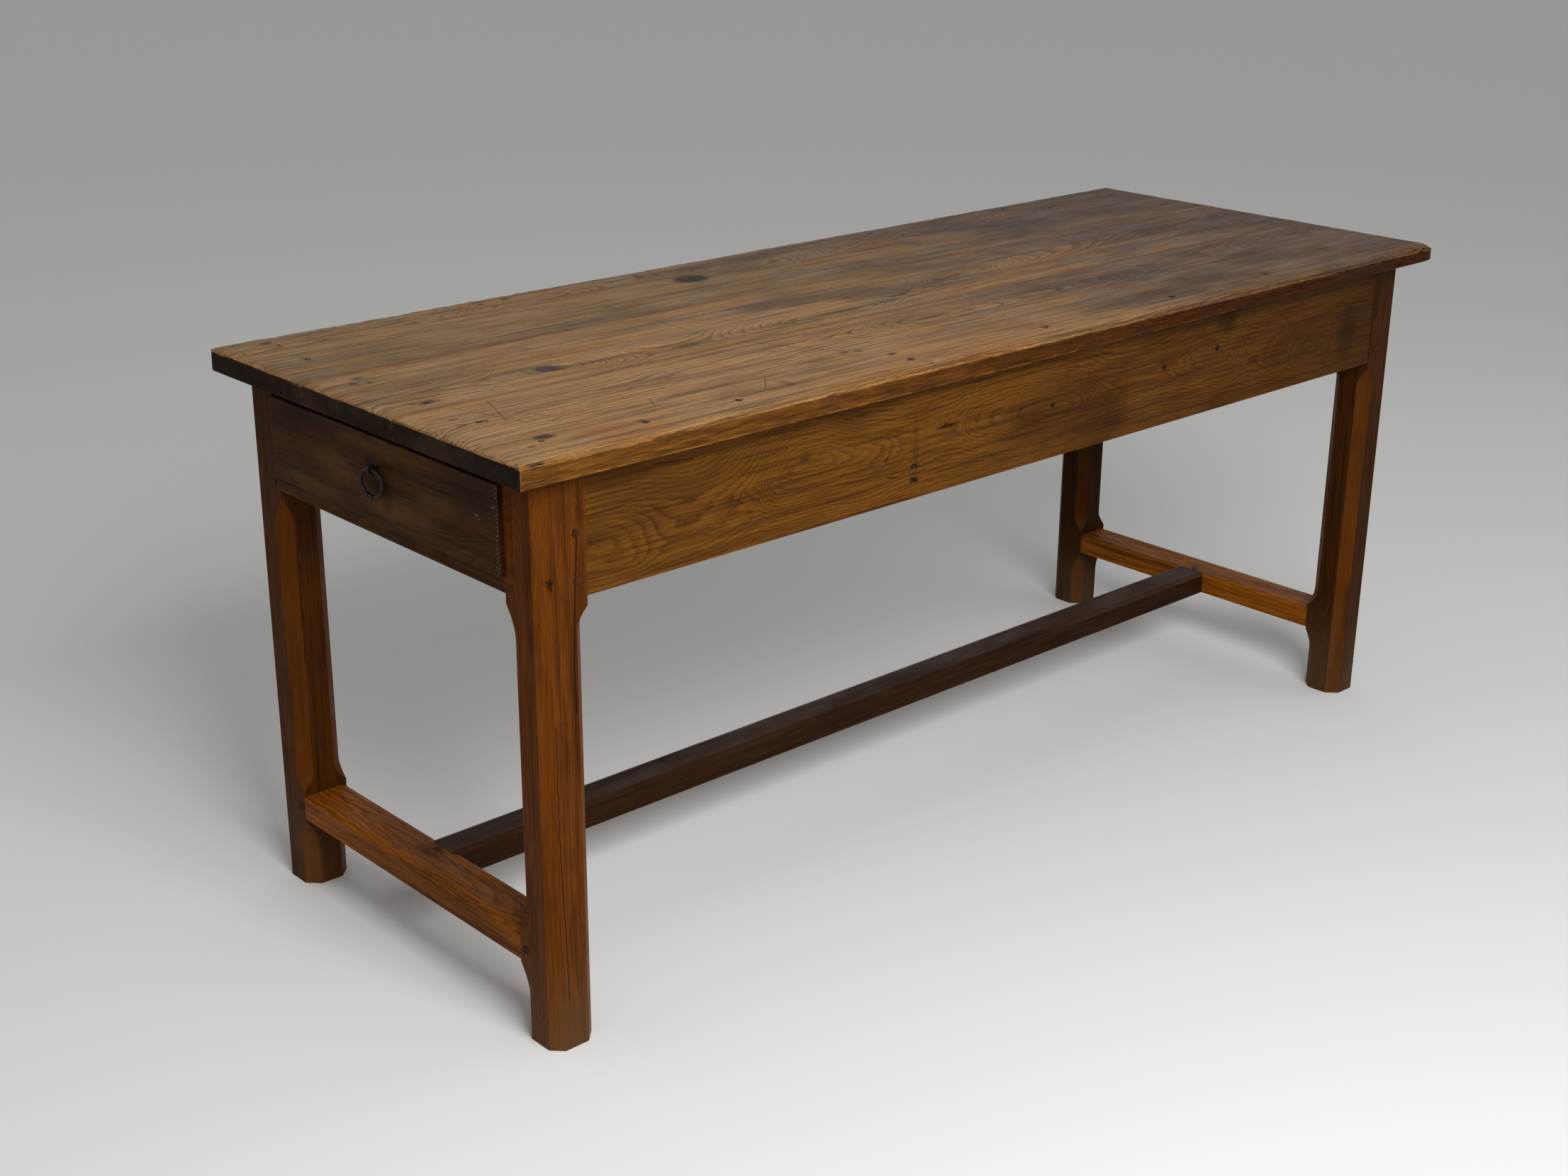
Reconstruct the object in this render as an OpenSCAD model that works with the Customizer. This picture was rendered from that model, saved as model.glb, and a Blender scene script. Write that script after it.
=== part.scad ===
// Farmhouse table: a plank top on a pegged frame with stop-chamfered legs, an H stretcher
// and one drawer in the left end. Lengths are in millimetres.
// X runs along the table with the drawer at its low end, Y from front to back and Z up.
// The origin is on the floor under the middle of the top.

/* [Top] */
// Height of the table
table_h = 760; // [690:1:800]
// Thickness of the top boards
top_t = 28; // [20:1:38]
// Width of the front board
front_board_w = 248; // [200:1:280]
// Width of the middle board
middle_board_w = 198; // [160:1:240]
// Gap between two boards of the top
board_gap = 0.5; // [0.1:0.1:1.5]
// How far the top stands out past the frame at the drawer end
over_left = 42; // [10:1:60]
// How far the top stands out past the frame at the other end
over_right = 52; // [10:1:60]
// How far the top stands out past the frame at the front
over_front = 30; // [10:1:60]
// How far the top stands out past the frame at the back
over_back = 21; // [10:1:60]
// Radius worn on the upper arris of the long edges
long_arris_r = 6; // [1:0.5:10]
// Radius worn on the upper arris of the end grain
end_arris_r = 4; // [1:0.5:8]
// Radius worn on the arrises beside a seam of the top
seam_arris_r = 0.8; // [0.3:0.1:2]
// Radius of the front right corner in plan
front_right_r = 24; // [4:1:40]
// Radius of the back right corner in plan
back_right_r = 14; // [4:1:40]
// Radius of the back left corner in plan
back_left_r = 18; // [4:1:40]

/* [Frame] */
// Length of the frame over the legs
frame_l = 1700; // [1300:5:2300]
// Width of the frame over the legs
frame_w = 630; // [560:1:760]
// Thickness of a square leg
leg = 66; // [58:1:90]
// Width of the full-height chamfer on a leg's outer corner
outer_chamfer = 14.5; // [4:0.5:20]
// Width of the stopped chamfers on a leg's other corners
stop_chamfer = 16.5; // [6:0.5:22]
// Length of a chamfer stop next to an apron or above a stretcher
stop_l = 28; // [15:1:60]
// Length of a chamfer stop under the drawer rail or under a stretcher
long_stop_l = 40; // [15:1:60]
// How far a leg's square block runs past an apron
block_margin = 11; // [4:1:25]
// How far a leg's square block runs above a stretcher
block_over = 7; // [2:1:25]
// How far a leg's square block runs below a stretcher
block_under = 3; // [2:1:25]

/* [Aprons] */
// Height of an apron
apron_h = 154; // [130:1:190]
// Thickness of an apron
apron_t = 24; // [18:1:30]
// How far an apron's face lies behind the leg's
apron_set_back = 1.5; // [0.5:0.5:5]
// Thickness of an apron's tenon
tenon_t = 9; // [6:0.5:12]
// Wood left between two mortises that meet in a leg
mortise_wall = 7; // [3:0.5:14]
// Step of the tenon up from the apron's lower edge
tenon_low = 10; // [4:1:20]
// Height of the haunch at the apron's upper edge
haunch_h = 42; // [20:1:60]
// Length of the haunch
haunch_l = 12; // [6:1:20]
// Room left past the end of a tenon
tenon_room = 1; // [0.5:0.5:3]

/* [Stretchers] */
// Height of the stretchers' underside above the floor
stretcher_z = 105; // [60:1:180]
// Height of a stretcher's section
stretcher_h = 34; // [26:1:50]
// Width of an end stretcher
end_stretcher_w = 64; // [50:1:66]
// Width of the centre stretcher
centre_stretcher_w = 57; // [44:1:80]
// Thickness of a stretcher's tenon
stretcher_tenon_t = 14; // [10:1:20]
// Width of a stretcher's tenon
stretcher_tenon_w = 36; // [24:1:44]
// Length of a stretcher's tenon
stretcher_tenon_l = 38; // [26:1:48]
// Width of the bevel along a stretcher's upper arrises
bevel_w = 8.5; // [4:0.5:12]
// Fall of that bevel
bevel_fall = 2.7; // [1:0.1:6]
// Radius of the line scratched along a bevel or bead
quirk_r = 0.8; // [0.5:0.1:2]

/* [Pegs] */
// Diameter of a peg
peg_d = 9; // [6:0.5:10]
// Depth of a peg in the wood
peg_l = 34; // [26:1:38]
// How far a peg's faceted end stands proud
peg_proud = 1.5; // [0.5:0.5:4]
// Gap between a peg and its hole
peg_gap = 0.1; // [0.05:0.05:0.3]
// Wood left under a centre stretcher's peg
centre_peg_floor = 7; // [3:1:14]
// Distance of an apron's pegs from its shoulder
apron_peg_in = 15; // [9:1:24]
// Height of the lower apron peg above the apron's lower edge
peg_low = 22; // [18:1:30]
// Height of the upper apron peg above the apron's lower edge
peg_high = 79; // [55:1:88]
// Distance of a stretcher's or rail's peg from its shoulder
rail_peg_in = 10.5; // [8:0.5:20]
// Distance of a centre stretcher's peg from its shoulder
centre_peg_in = 15; // [14.5:0.5:28]

/* [Drawer end] */
// Height of the lower drawer rail
rail_h = 20; // [18:1:34]
// Thickness of the lower rail's tenon
rail_tenon_t = 13; // [10:1:16]
// Length of the lower rail's tenon
rail_tenon_l = 28; // [20:1:34]
// Width left at each side of the lower rail's tenon
rail_shoulder = 12; // [6:1:18]
// Diameter of the lower rail's peg
rail_peg_d = 7.5; // [5:0.5:8]
// Height of the bead along the lower rail's face
rail_bead_h = 7; // [4:0.5:12]
// Height of the upper drawer rail
top_rail_h = 18; // [12:1:24]
// Width of the upper drawer rail
top_rail_w = 44; // [36:1:56]
// Length of the upper rail's dovetail
dovetail_l = 22; // [14:1:28]
// Width of the upper rail's dovetail at its neck
dovetail_neck = 24; // [16:1:30]
// Spread of the upper rail's dovetail on each side
dovetail_spread = 4; // [2:0.5:5]
// How far the drawer stands open
drawer_open = 5; // [0:1:60]

/* [Drawer] */
// Length of the drawer
drawer_l = 560; // [380:5:700]
// Thickness of the drawer front
drawer_front_t = 22; // [18:1:30]
// Thickness of a drawer side
side_t = 12; // [8:1:18]
// Thickness of the drawer back
drawer_back_t = 12; // [8:1:18]
// Thickness of the drawer bottom
bottom_t = 8; // [5:0.5:12]
// Depth of the groove that holds the bottom
groove_d = 6; // [3:0.5:7]
// Height of the bottom above the sides' lower edges
bottom_up = 10; // [8:0.5:18]
// Wood left in front of the dovetails in the drawer front
lap = 7; // [4:0.5:10]
// Gap around the bottom in its grooves
panel_gap = 0.2; // [0.1:0.1:0.5]
// Radius worn on the arrises of the drawer front
drawer_arris_r = 1.5; // [0.5:0.5:3]
// Radius worn on the arris of the lower rail
rail_arris_r = 2.5; // [0.5:0.5:4]
// Number of dovetails at a corner
tails = 3; // [2:1:5]
// Spread of a drawer dovetail on each side
tail_spread = 2.5; // [1:0.5:4]
// How far the sides stop below the top of the drawer front
side_drop = 5; // [1:1:12]
// How far the drawer back stops below the tops of the sides
back_drop = 6; // [1:1:20]
// Gap above the drawer front
gap_over = 6; // [3:0.5:20]
// Gap at each side of the drawer
gap_side = 1.5; // [0.8:0.1:4]
// Gap between the drawer and what it slides on
gap_run = 0.3; // [0.2:0.1:0.8]
// Gap between the closed drawer and the cross rail
gap_behind = 20; // [6:1:60]

/* [Drawer carriage] */
// Thickness of the cross rail behind the drawer
cross_rail_t = 24; // [18:1:36]
// Height of the cross rail
cross_rail_h = 68; // [48:1:96]
// Distance between the two nails in a cross rail's end
cross_nail_pitch = 18; // [12:1:30]
// How far a runner reaches under the drawer
runner_reach = 26; // [16:1:50]
// Length of a runner's stub tenons
stub_l = 11; // [6:1:14]
// Thickness of a runner's stub tenons
stub_t = 8; // [5:1:11]
// Width left at each side of a runner's stub tenons
stub_shoulder = 3; // [1:0.5:6]
// Height of a guide
guide_h = 28; // [12:1:60]
// Width of a kicker
kicker_w = 26; // [16:1:40]
// Gap between a kicker and the drawer side
kicker_gap = 3; // [1:0.5:8]
// Length of a drawer stop
drawer_stop_l = 25; // [14:1:38]
// Width of a drawer stop
drawer_stop_w = 40; // [20:1:70]
// Height of a drawer stop
drawer_stop_h = 6; // [4:0.5:7]
// Distance of a drawer stop from the middle of the drawer
drawer_stop_out = 150; // [60:1:180]

/* [Ring pull] */
// Radius of the ring to the middle of its wire
ring_r = 17.5; // [14:0.5:28]
// Radius of the ring's wire
ring_wire_r = 2.6; // [1.6:0.1:3]
// Radius of the swelling in the ring
swell_r = 4; // [3.2:0.1:5.5]
// Half the length of the swelling
swell_l = 8; // [5.5:0.5:9]
// Radius of the collars beside the swelling
collar_r = 3.5; // [3.1:0.1:4.5]
// Width of the collars beside the swelling
collar_w = 1.8; // [1:0.1:3]
// Angle from the ring's foot to the swelling
swell_turn = 25; // [0:5:40]
// Radius of the eye's wire
eye_wire_r = 1.6; // [1:0.1:2.2]
// Gap between the ring and the lowest point of the eye's hole
ring_gap = 0.3; // [0.2:0.1:0.5]
// Angle that the ring is turned about the upright in its loose eye
ring_turn = 15; // [0:1:20]
// Gap between the turned ring and the drawer front
ring_front_gap = 0.5; // [0.3:0.1:5]
// Height of the eye above the middle of the drawer front
eye_up = 17; // [0:1:24]
// Radius of the eye's shank
eye_shank_r = 2.3; // [1.5:0.1:3]
// Length of one clenched prong
prong_l = 13; // [8:1:20]
// Thickness of a clenched prong
prong_t = 1.8; // [1:0.1:2.6]
// Width of a clenched prong's tip
prong_tip_w = 1.6; // [0.8:0.1:2.6]

/* [Nails] */
// Width of a nail's square shank
nail_w = 3.2; // [2:0.1:4.4]
// Length of a nail through the top into an apron or leg
top_nail_l = 60; // [46:1:80]
// Length of a nail through an apron into the cross rail
cross_nail_l = 62; // [44:1:80]
// Width of a small nail's square shank
small_nail_w = 2.2; // [1.4:0.1:3]
// How far a small nail bites into the second piece
nail_bite = 14; // [8:1:18]
// Diameter of a nail's head
nail_head_d = 8; // [5:0.5:10]
// Diameter of a small nail's head
small_head_d = 5; // [3.5:0.5:7]
// Thickness of a nail's head
nail_head_h = 1.6; // [0.8:0.1:2.5]
// How deep a nail's head lies under the surface
nail_sunk = 0.8; // [0.2:0.1:2]
// Gap between a nail and its hole
nail_gap = 0.1; // [0.05:0.05:0.3]
// Distance between the small nails of a guide or kicker
small_nail_pitch = 190; // [90:5:300]
// Number of nails that hold the drawer bottom
bottom_nails = 4; // [2:1:8]

/* [Hidden] */

$fn = 48;
past = 1;
top_l = over_left + frame_l + over_right;
top_w = over_front + frame_w + over_back;
back_board_w = top_w - front_board_w - middle_board_w - 2 * board_gap;
under_z = table_h - top_t;
frame_x0 = over_left - top_l / 2;
frame_y0 = over_front - top_w / 2;
frame_x1 = frame_x0 + frame_l;
frame_y1 = frame_y0 + frame_w;
frame_mid_y = (frame_y0 + frame_y1) / 2;
apron_z = under_z - apron_h;
inner_l = frame_l - 2 * leg;
inner_w = frame_w - 2 * leg;
apron_in = apron_set_back + apron_t;
tenon_in = apron_set_back + (apron_t - tenon_t) / 2;
tenon_l = leg - tenon_in - tenon_t - mortise_wall;
stretcher_top_z = stretcher_z + stretcher_h;
stretcher_mid_z = stretcher_z + stretcher_h / 2;
rail_mid_z = apron_z + rail_h / 2;
upper_rail_z = under_z - top_rail_h;
upper_rail_mid = apron_set_back + top_rail_w / 2;
centre_peg_l = stretcher_h - centre_peg_floor;

run_z = apron_z + rail_h;
drawer_x = frame_x0 - drawer_open;
drawer_z = run_z + gap_run;
drawer_w = inner_w - 2 * gap_side;
drawer_y = frame_mid_y - drawer_w / 2;
drawer_front_h = upper_rail_z - gap_over - drawer_z;
side_h = drawer_front_h - side_drop;
back_z = bottom_up + bottom_t;
back_h = side_h - back_drop - back_z;

cross_rail_x = frame_x0 + drawer_l + gap_behind;
cross_rail_y = frame_y0 + apron_in;
cross_rail_w = frame_w - 2 * apron_in;
guide_w = leg - apron_in;
kicker_h = under_z - drawer_z - side_h - kicker_gap;
kicker_x = frame_x0 + apron_set_back + top_rail_w;

eye_hole_r = ring_wire_r + 2 * ring_gap;
eye_r = eye_hole_r + eye_wire_r;
eye_out = max(ring_r * sin(ring_turn) + max(swell_r, collar_r, ring_wire_r), eye_r + eye_wire_r)
    + ring_front_gap;
eye_x = drawer_x - eye_out;
eye_z = drawer_z + drawer_front_h / 2 + eye_up;

// Places of the nails in the top, each from the inner face of the nearest leg
front_nails_at = [100, 240, 530, 787, 1060, 1287];
back_nails_at = [295, 570, 815, 1054, 1372];
end_nails_at = [191, 401];
upper_rail_nails_at = [73, 178, 301, 443];
nail_margin = 20;
apron_mid = apron_set_back + apron_t / 2;
upper_rail_nail_l = top_t + top_rail_h - nail_sunk - 4;
top_nails_at = concat(
    [for (x = front_nails_at) if (x < inner_l - nail_margin)
        [frame_x0 + leg + x, frame_y0 + apron_mid, top_nail_l]],
    [for (x = back_nails_at) if (x < inner_l - nail_margin)
        [frame_x0 + leg + x, frame_y1 - apron_mid, top_nail_l]],
    [for (y = end_nails_at) if (y < inner_w - nail_margin)
        [frame_x1 - apron_mid, frame_y0 + leg + y, top_nail_l]],
    [for (y = upper_rail_nails_at) if (y < inner_w - nail_margin)
        [frame_x0 + upper_rail_mid, frame_y0 + leg + y, upper_rail_nail_l]],
    [for (x = [frame_x0 + leg / 2, frame_x1 - leg / 2])
        for (y = [frame_y0 + leg / 2, frame_y1 - leg / 2]) [x, y, top_nail_l]]);

top_colour = "#7a5f47";
leg_colour = "#6b3a1f";
apron_colour = "#83552b";
stretcher_colour = "#4f3020";
drawer_colour = "#5f3f22";
inner_colour = "#a1855c";
peg_colour = "#54301d";
iron_colour = "#2a2423";

// Puts its children in a leg's own frame: the leg's outer corner at the origin, x and y inwards
module at_leg(right, back) {
    translate([right ? frame_x1 : frame_x0, back ? frame_y1 : frame_y0, 0])
        mirror([right, 0, 0])
        mirror([0, back, 0])
        children();
}

// Turns a section drawn in y and z into a length that runs along x
module along_x(l) {
    rotate([90, 0, 90]) linear_extrude(l) children();
}

// Turns a section drawn in x and z into a length that runs along y
module along_y(l) {
    translate([0, l, 0]) rotate([90, 0, 0]) linear_extrude(l) children();
}

// What rounding takes off a corner at the origin, with the wood towards x and y
module corner_waste(r) {
    difference() {
        translate([-past, -past]) square(r + past);
        translate([r, r]) circle(r);
    }
}

// Rectangle with its upper left and upper right corners rounded
module soft_section(w, h, left_r, right_r) {
    difference() {
        square([w, h]);
        translate([0, h]) rotate(-90) corner_waste(left_r);
        translate([w, h]) rotate(180) corner_waste(right_r);
    }
}

// Square nail driven down from the origin, its head just under the surface
module nail(l, w = nail_w, head_d = nail_head_d) {
    translate([0, 0, -nail_sunk - nail_head_h]) cylinder(d = head_d, h = nail_head_h);
    translate([-w / 2, -w / 2, -nail_sunk - l]) cube([w, w, l - nail_head_h / 2]);
}

module nail_hole(l, w = nail_w, head_d = nail_head_d) {
    hole_w = w + 2 * nail_gap;
    depth = nail_sunk + nail_head_h;
    translate([0, 0, -depth]) cylinder(d = head_d + 2 * nail_gap, h = depth + past);
    translate([-hole_w / 2, -hole_w / 2, -nail_sunk - l - nail_gap]) cube([hole_w, hole_w, l]);
}

module top_nail_holes() {
    for (at = top_nails_at) translate([at[0], at[1], table_h]) nail_hole(at[2]);
}

module small_nail(l) {
    nail(l, small_nail_w, small_head_d);
}

module small_nail_hole(l) {
    nail_hole(l, small_nail_w, small_head_d);
}

// Peg driven down from the origin, with a faceted end left proud
module peg(d, l) {
    translate([0, 0, -l]) cylinder(d = d, h = l);
    cylinder(d = d + 1, h = peg_proud, $fn = 8);
}

module peg_hole(d, l) {
    translate([0, 0, -l - tenon_room]) cylinder(d = d + 2 * peg_gap, h = l + tenon_room + past);
}

// Places of the pegs in a leg's frame: through the face towards y, or through the end face
module at_long_pegs() {
    for (up = [peg_low, peg_high])
        translate([leg - apron_peg_in, 0, apron_z + up]) rotate([90, 0, 0]) children();
}

module at_end_pegs() {
    for (up = [peg_low, peg_high])
        translate([0, leg - apron_peg_in, apron_z + up]) rotate([0, -90, 0]) children();
}

module at_rail_peg() {
    translate([0, leg - rail_peg_in, rail_mid_z]) rotate([0, -90, 0]) children();
}

module at_stretcher_peg() {
    translate([0, leg - rail_peg_in, stretcher_mid_z]) rotate([0, -90, 0]) children();
}

// Upright peg of the centre stretcher at one end
module at_centre_peg(right) {
    in = end_stretcher_w - centre_peg_in;
    translate([right ? frame_x1 - in : frame_x0 + in, frame_mid_y, stretcher_top_z]) children();
}

// Tenon of an apron with its haunch, from the shoulder along x
module apron_tenon(room, up) {
    step = apron_h - haunch_h;
    translate([-past, 0, tenon_low]) cube([past + tenon_l + room, tenon_t, step - tenon_low]);
    translate([-past, 0, step - past]) cube([past + haunch_l + room, tenon_t, haunch_h + past + up]);
}

module long_tenon_in_leg(room = 0, up = 0) {
    translate([leg, tenon_in, apron_z]) mirror([1, 0, 0]) apron_tenon(room, up);
}

module end_tenon_in_leg(room = 0, up = 0) {
    translate([tenon_in, leg, apron_z]) rotate([0, 0, -90]) apron_tenon(room, up);
}

// Flat tenon of a stretcher, from the shoulder along x, with y and z from its middle
module stretcher_tenon(room = 0) {
    translate([-past, -stretcher_tenon_w / 2, -stretcher_tenon_t / 2])
        cube([past + stretcher_tenon_l + room, stretcher_tenon_w, stretcher_tenon_t]);
}

module stretcher_tenon_in_leg(room = 0) {
    translate([end_stretcher_w / 2, leg, stretcher_mid_z]) rotate([0, 0, -90]) stretcher_tenon(room);
}

module centre_tenon(right, room = 0) {
    in = end_stretcher_w;
    translate([right ? frame_x1 - in : frame_x0 + in, frame_mid_y, stretcher_mid_z])
        rotate([0, 0, right ? 0 : 180])
        stretcher_tenon(room);
}

module rail_tenon_in_leg(room = 0) {
    translate([rail_shoulder, leg - rail_tenon_l - room, rail_mid_z - rail_tenon_t / 2])
        cube([leg - 2 * rail_shoulder, rail_tenon_l + room + past, rail_tenon_t]);
}

// Dovetail that ties the upper drawer rail into the top of a leg
module upper_dovetail(up = 0) {
    neck = dovetail_neck / 2;
    wide = neck + dovetail_spread;
    translate([upper_rail_mid, leg, upper_rail_z])
        linear_extrude(top_rail_h + up)
        polygon([[-neck, past], [-neck, 0], [-wide, -dovetail_l], [wide, -dovetail_l],
            [neck, 0], [neck, past]]);
}

// Share of a chamfer's depth at a share u of its stop: a crisp start, then a long hollow
function tongue(u) = sin(90 * u);

// Waste of a stopped chamfer between two heights, with the leg's corner at the origin and the
// wood towards x. A low stop of no length lets the chamfer run out at the floor.
module chamfer_waste(low, high, low_stop, high_stop) {
    depth = stop_chamfer / sqrt(2);
    steps = 10;
    rise = [for (i = [0 : steps]) [depth * tongue(i / steps), low + low_stop * i / steps]];
    fall = [for (i = [steps : -1 : 0]) [depth * tongue(i / steps), high - high_stop * i / steps]];
    start = low_stop > 0 ? concat([[-past, low]], rise) : [[-past, low - past], [depth, low - past]];
    rotate([90, 0, 0])
        linear_extrude(2 * stop_chamfer, center = true)
        polygon(concat(start, fall, [[-past, high]]));
}

// Square leg with its outer chamfer and three stopped ones, before the joints are cut. Only the
// two corners beside the stretcher keep a square block there.
module leg_blank(right) {
    reach = outer_chamfer + past;
    high = apron_z - block_margin;
    end_stop = right ? stop_l : long_stop_l;
    difference() {
        cube([leg, leg, under_z]);
        translate([0, 0, -past])
            linear_extrude(under_z + 2 * past)
            polygon([[-past, -past], [reach, -past], [-past, reach]]);
        translate([leg, 0, 0]) rotate(135) chamfer_waste(0, high, 0, stop_l);
        for (inner = [0, 1])
            translate([inner ? leg : 0, leg, 0])
            rotate(inner ? 225 : -45) {
                chamfer_waste(stretcher_top_z + block_over, high, stop_l, inner ? stop_l : end_stop);
                chamfer_waste(0, stretcher_z - block_under, 0, long_stop_l);
            }
    }
}

module leg_at(right, back) {
    color(leg_colour)
        difference() {
            at_leg(right, back)
                difference() {
                    leg_blank(right);
                    long_tenon_in_leg(tenon_room, past);
                    at_long_pegs() peg_hole(peg_d, peg_l);
                    stretcher_tenon_in_leg(tenon_room);
                    at_stretcher_peg() peg_hole(peg_d, peg_l);
                    if (right) {
                        end_tenon_in_leg(tenon_room, past);
                        at_end_pegs() peg_hole(peg_d, peg_l);
                    } else {
                        rail_tenon_in_leg(tenon_room);
                        at_rail_peg() peg_hole(rail_peg_d, peg_l);
                        upper_dovetail(past);
                    }
                }
            top_nail_holes();
        }
}

// One board of the top, worn round on the arrises and corners that lie on the outside
module top_board(y, w, front, back) {
    color(top_colour)
        difference() {
            translate([-top_l / 2, y, under_z])
                intersection() {
                    linear_extrude(top_t)
                        difference() {
                            square([top_l, w]);
                            if (front) translate([top_l, 0]) rotate(90) corner_waste(front_right_r);
                            if (back) translate([top_l, w]) rotate(180) corner_waste(back_right_r);
                            if (back) translate([0, w]) rotate(-90) corner_waste(back_left_r);
                        }
                    along_x(top_l)
                        soft_section(w, top_t, front ? long_arris_r : seam_arris_r,
                            back ? long_arris_r : seam_arris_r);
                    along_y(w) soft_section(top_l, top_t, end_arris_r, end_arris_r);
                }
            top_nail_holes();
            at_kicker_nails() small_nail_hole(kicker_h + nail_bite);
        }
}

module top_board_front() {
    top_board(-top_w / 2, front_board_w, true, false);
}

module top_board_middle() {
    top_board(front_board_w + board_gap - top_w / 2, middle_board_w, false, false);
}

module top_board_back() {
    top_board(top_w / 2 - back_board_w, back_board_w, false, true);
}

module top_nails() {
    color(iron_colour)
        for (at = top_nails_at) translate([at[0], at[1], table_h]) nail(at[2]);
}

module leg_front_left() {
    leg_at(0, 0);
}

module leg_back_left() {
    leg_at(0, 1);
}

module leg_front_right() {
    leg_at(1, 0);
}

module leg_back_right() {
    leg_at(1, 1);
}

module long_apron(back) {
    y = back ? frame_y1 - apron_in : frame_y0 + apron_set_back;
    color(apron_colour)
        difference() {
            union() {
                translate([frame_x0 + leg, y, apron_z]) cube([inner_l, apron_t, apron_h]);
                for (right = [0, 1]) at_leg(right, back) long_tenon_in_leg();
            }
            for (right = [0, 1]) at_leg(right, back) at_long_pegs() peg_hole(peg_d, peg_l);
            top_nail_holes();
            at_cross_nails(back) nail_hole(cross_nail_l);
        }
}

module apron_front() {
    long_apron(0);
}

module apron_back() {
    long_apron(1);
}

module apron_end() {
    color(apron_colour)
        difference() {
            union() {
                translate([frame_x1 - apron_in, frame_y0 + leg, apron_z]) cube([apron_t, inner_w, apron_h]);
                for (back = [0, 1]) at_leg(1, back) end_tenon_in_leg();
            }
            for (back = [0, 1]) at_leg(1, back) at_end_pegs() peg_hole(peg_d, peg_l);
            top_nail_holes();
        }
}

// Stub tenon of a runner, centred across what the runner reaches under the drawer
module runner_stub(x, back, room = 0) {
    w = runner_reach - 2 * stub_shoulder;
    y = frame_y0 + leg + stub_shoulder;
    translate([x - stub_l - room, back ? 2 * frame_mid_y - y - w : y, rail_mid_z - stub_t / 2])
        cube([2 * (stub_l + room), w, stub_t]);
}

module drawer_rail_lower() {
    color(drawer_colour)
        difference() {
            union() {
                translate([frame_x0, frame_y0 + leg, apron_z])
                    along_y(inner_w)
                    difference() {
                        square([leg, rail_h]);
                        corner_waste(rail_arris_r);
                        translate([0, rail_bead_h]) circle(quirk_r);
                    }
                for (back = [0, 1]) at_leg(0, back) rail_tenon_in_leg();
            }
            for (back = [0, 1]) {
                at_leg(0, back) at_rail_peg() peg_hole(rail_peg_d, peg_l);
                runner_stub(frame_x0 + leg, back, tenon_room);
            }
        }
}

module drawer_rail_upper() {
    color(inner_colour)
        difference() {
            union() {
                translate([frame_x0 + apron_set_back, frame_y0 + leg, upper_rail_z])
                    cube([top_rail_w, inner_w, top_rail_h]);
                for (back = [0, 1]) at_leg(0, back) upper_dovetail();
            }
            top_nail_holes();
        }
}

// Outline of a stretcher's section, with a bevel along each upper arris
module bevelled(w, below = 0) {
    polygon([[0, -below], [w, -below], [w, stretcher_h - bevel_fall], [w - bevel_w, stretcher_h],
        [bevel_w, stretcher_h], [0, stretcher_h - bevel_fall]]);
}

// Lines scratched along the upper sides of a section's bevels
module quirks(w) {
    for (x = [bevel_w, w - bevel_w]) translate([x, stretcher_h]) circle(quirk_r);
}

module stretcher_section(w) {
    difference() {
        bevelled(w);
        quirks(w);
    }
}

module end_stretcher(right) {
    color(stretcher_colour)
        difference() {
            union() {
                translate([right ? frame_x1 - end_stretcher_w : frame_x0, frame_y0 + leg, stretcher_z])
                    along_y(inner_w)
                    stretcher_section(end_stretcher_w);
                for (back = [0, 1]) at_leg(right, back) stretcher_tenon_in_leg();
            }
            for (back = [0, 1]) at_leg(right, back) at_stretcher_peg() peg_hole(peg_d, peg_l);
            centre_tenon(right, tenon_room);
            at_centre_peg(right) peg_hole(peg_d, centre_peg_l);
        }
}

module stretcher_left() {
    end_stretcher(0);
}

module stretcher_right() {
    end_stretcher(1);
}

// Its ends are cut to lie on the bevels of the end stretchers
module stretcher_centre() {
    y = frame_mid_y - centre_stretcher_w / 2;
    lap_in = end_stretcher_w - bevel_w;
    color(stretcher_colour)
        difference() {
            union() {
                difference() {
                    translate([frame_x0 + lap_in, y, stretcher_z])
                        along_x(frame_l - 2 * lap_in)
                        stretcher_section(centre_stretcher_w);
                    for (x = [frame_x0, frame_x1 - end_stretcher_w])
                        translate([x, y - past, stretcher_z])
                        along_y(centre_stretcher_w + 2 * past) {
                            bevelled(end_stretcher_w, past);
                            quirks(end_stretcher_w);
                        }
                }
                for (right = [0, 1]) centre_tenon(right);
            }
            for (right = [0, 1]) at_centre_peg(right) peg_hole(peg_d, centre_peg_l);
        }
}

module apron_pegs() {
    color(peg_colour)
        for (back = [0, 1])
            for (right = [0, 1])
                at_leg(right, back) {
                    at_long_pegs() peg(peg_d, peg_l);
                    if (right) at_end_pegs() peg(peg_d, peg_l);
                }
}

module rail_pegs() {
    color(peg_colour)
        for (back = [0, 1]) at_leg(0, back) at_rail_peg() peg(rail_peg_d, peg_l);
}

module stretcher_pegs() {
    color(peg_colour)
        for (right = [0, 1]) {
            for (back = [0, 1]) at_leg(right, back) at_stretcher_peg() peg(peg_d, peg_l);
            at_centre_peg(right) peg(peg_d, centre_peg_l);
        }
}

// Places of the nails that hold one end of the cross rail, driven through a long apron
module at_cross_nails(back) {
    face = frame_y0 + apron_set_back;
    for (up = [-cross_nail_pitch / 2, cross_nail_pitch / 2])
        translate([cross_rail_x + cross_rail_t / 2, back ? 2 * frame_mid_y - face : face,
            apron_z + cross_rail_h / 2 + up])
        rotate([back ? -90 : 90, 0, 0])
        children();
}

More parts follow.
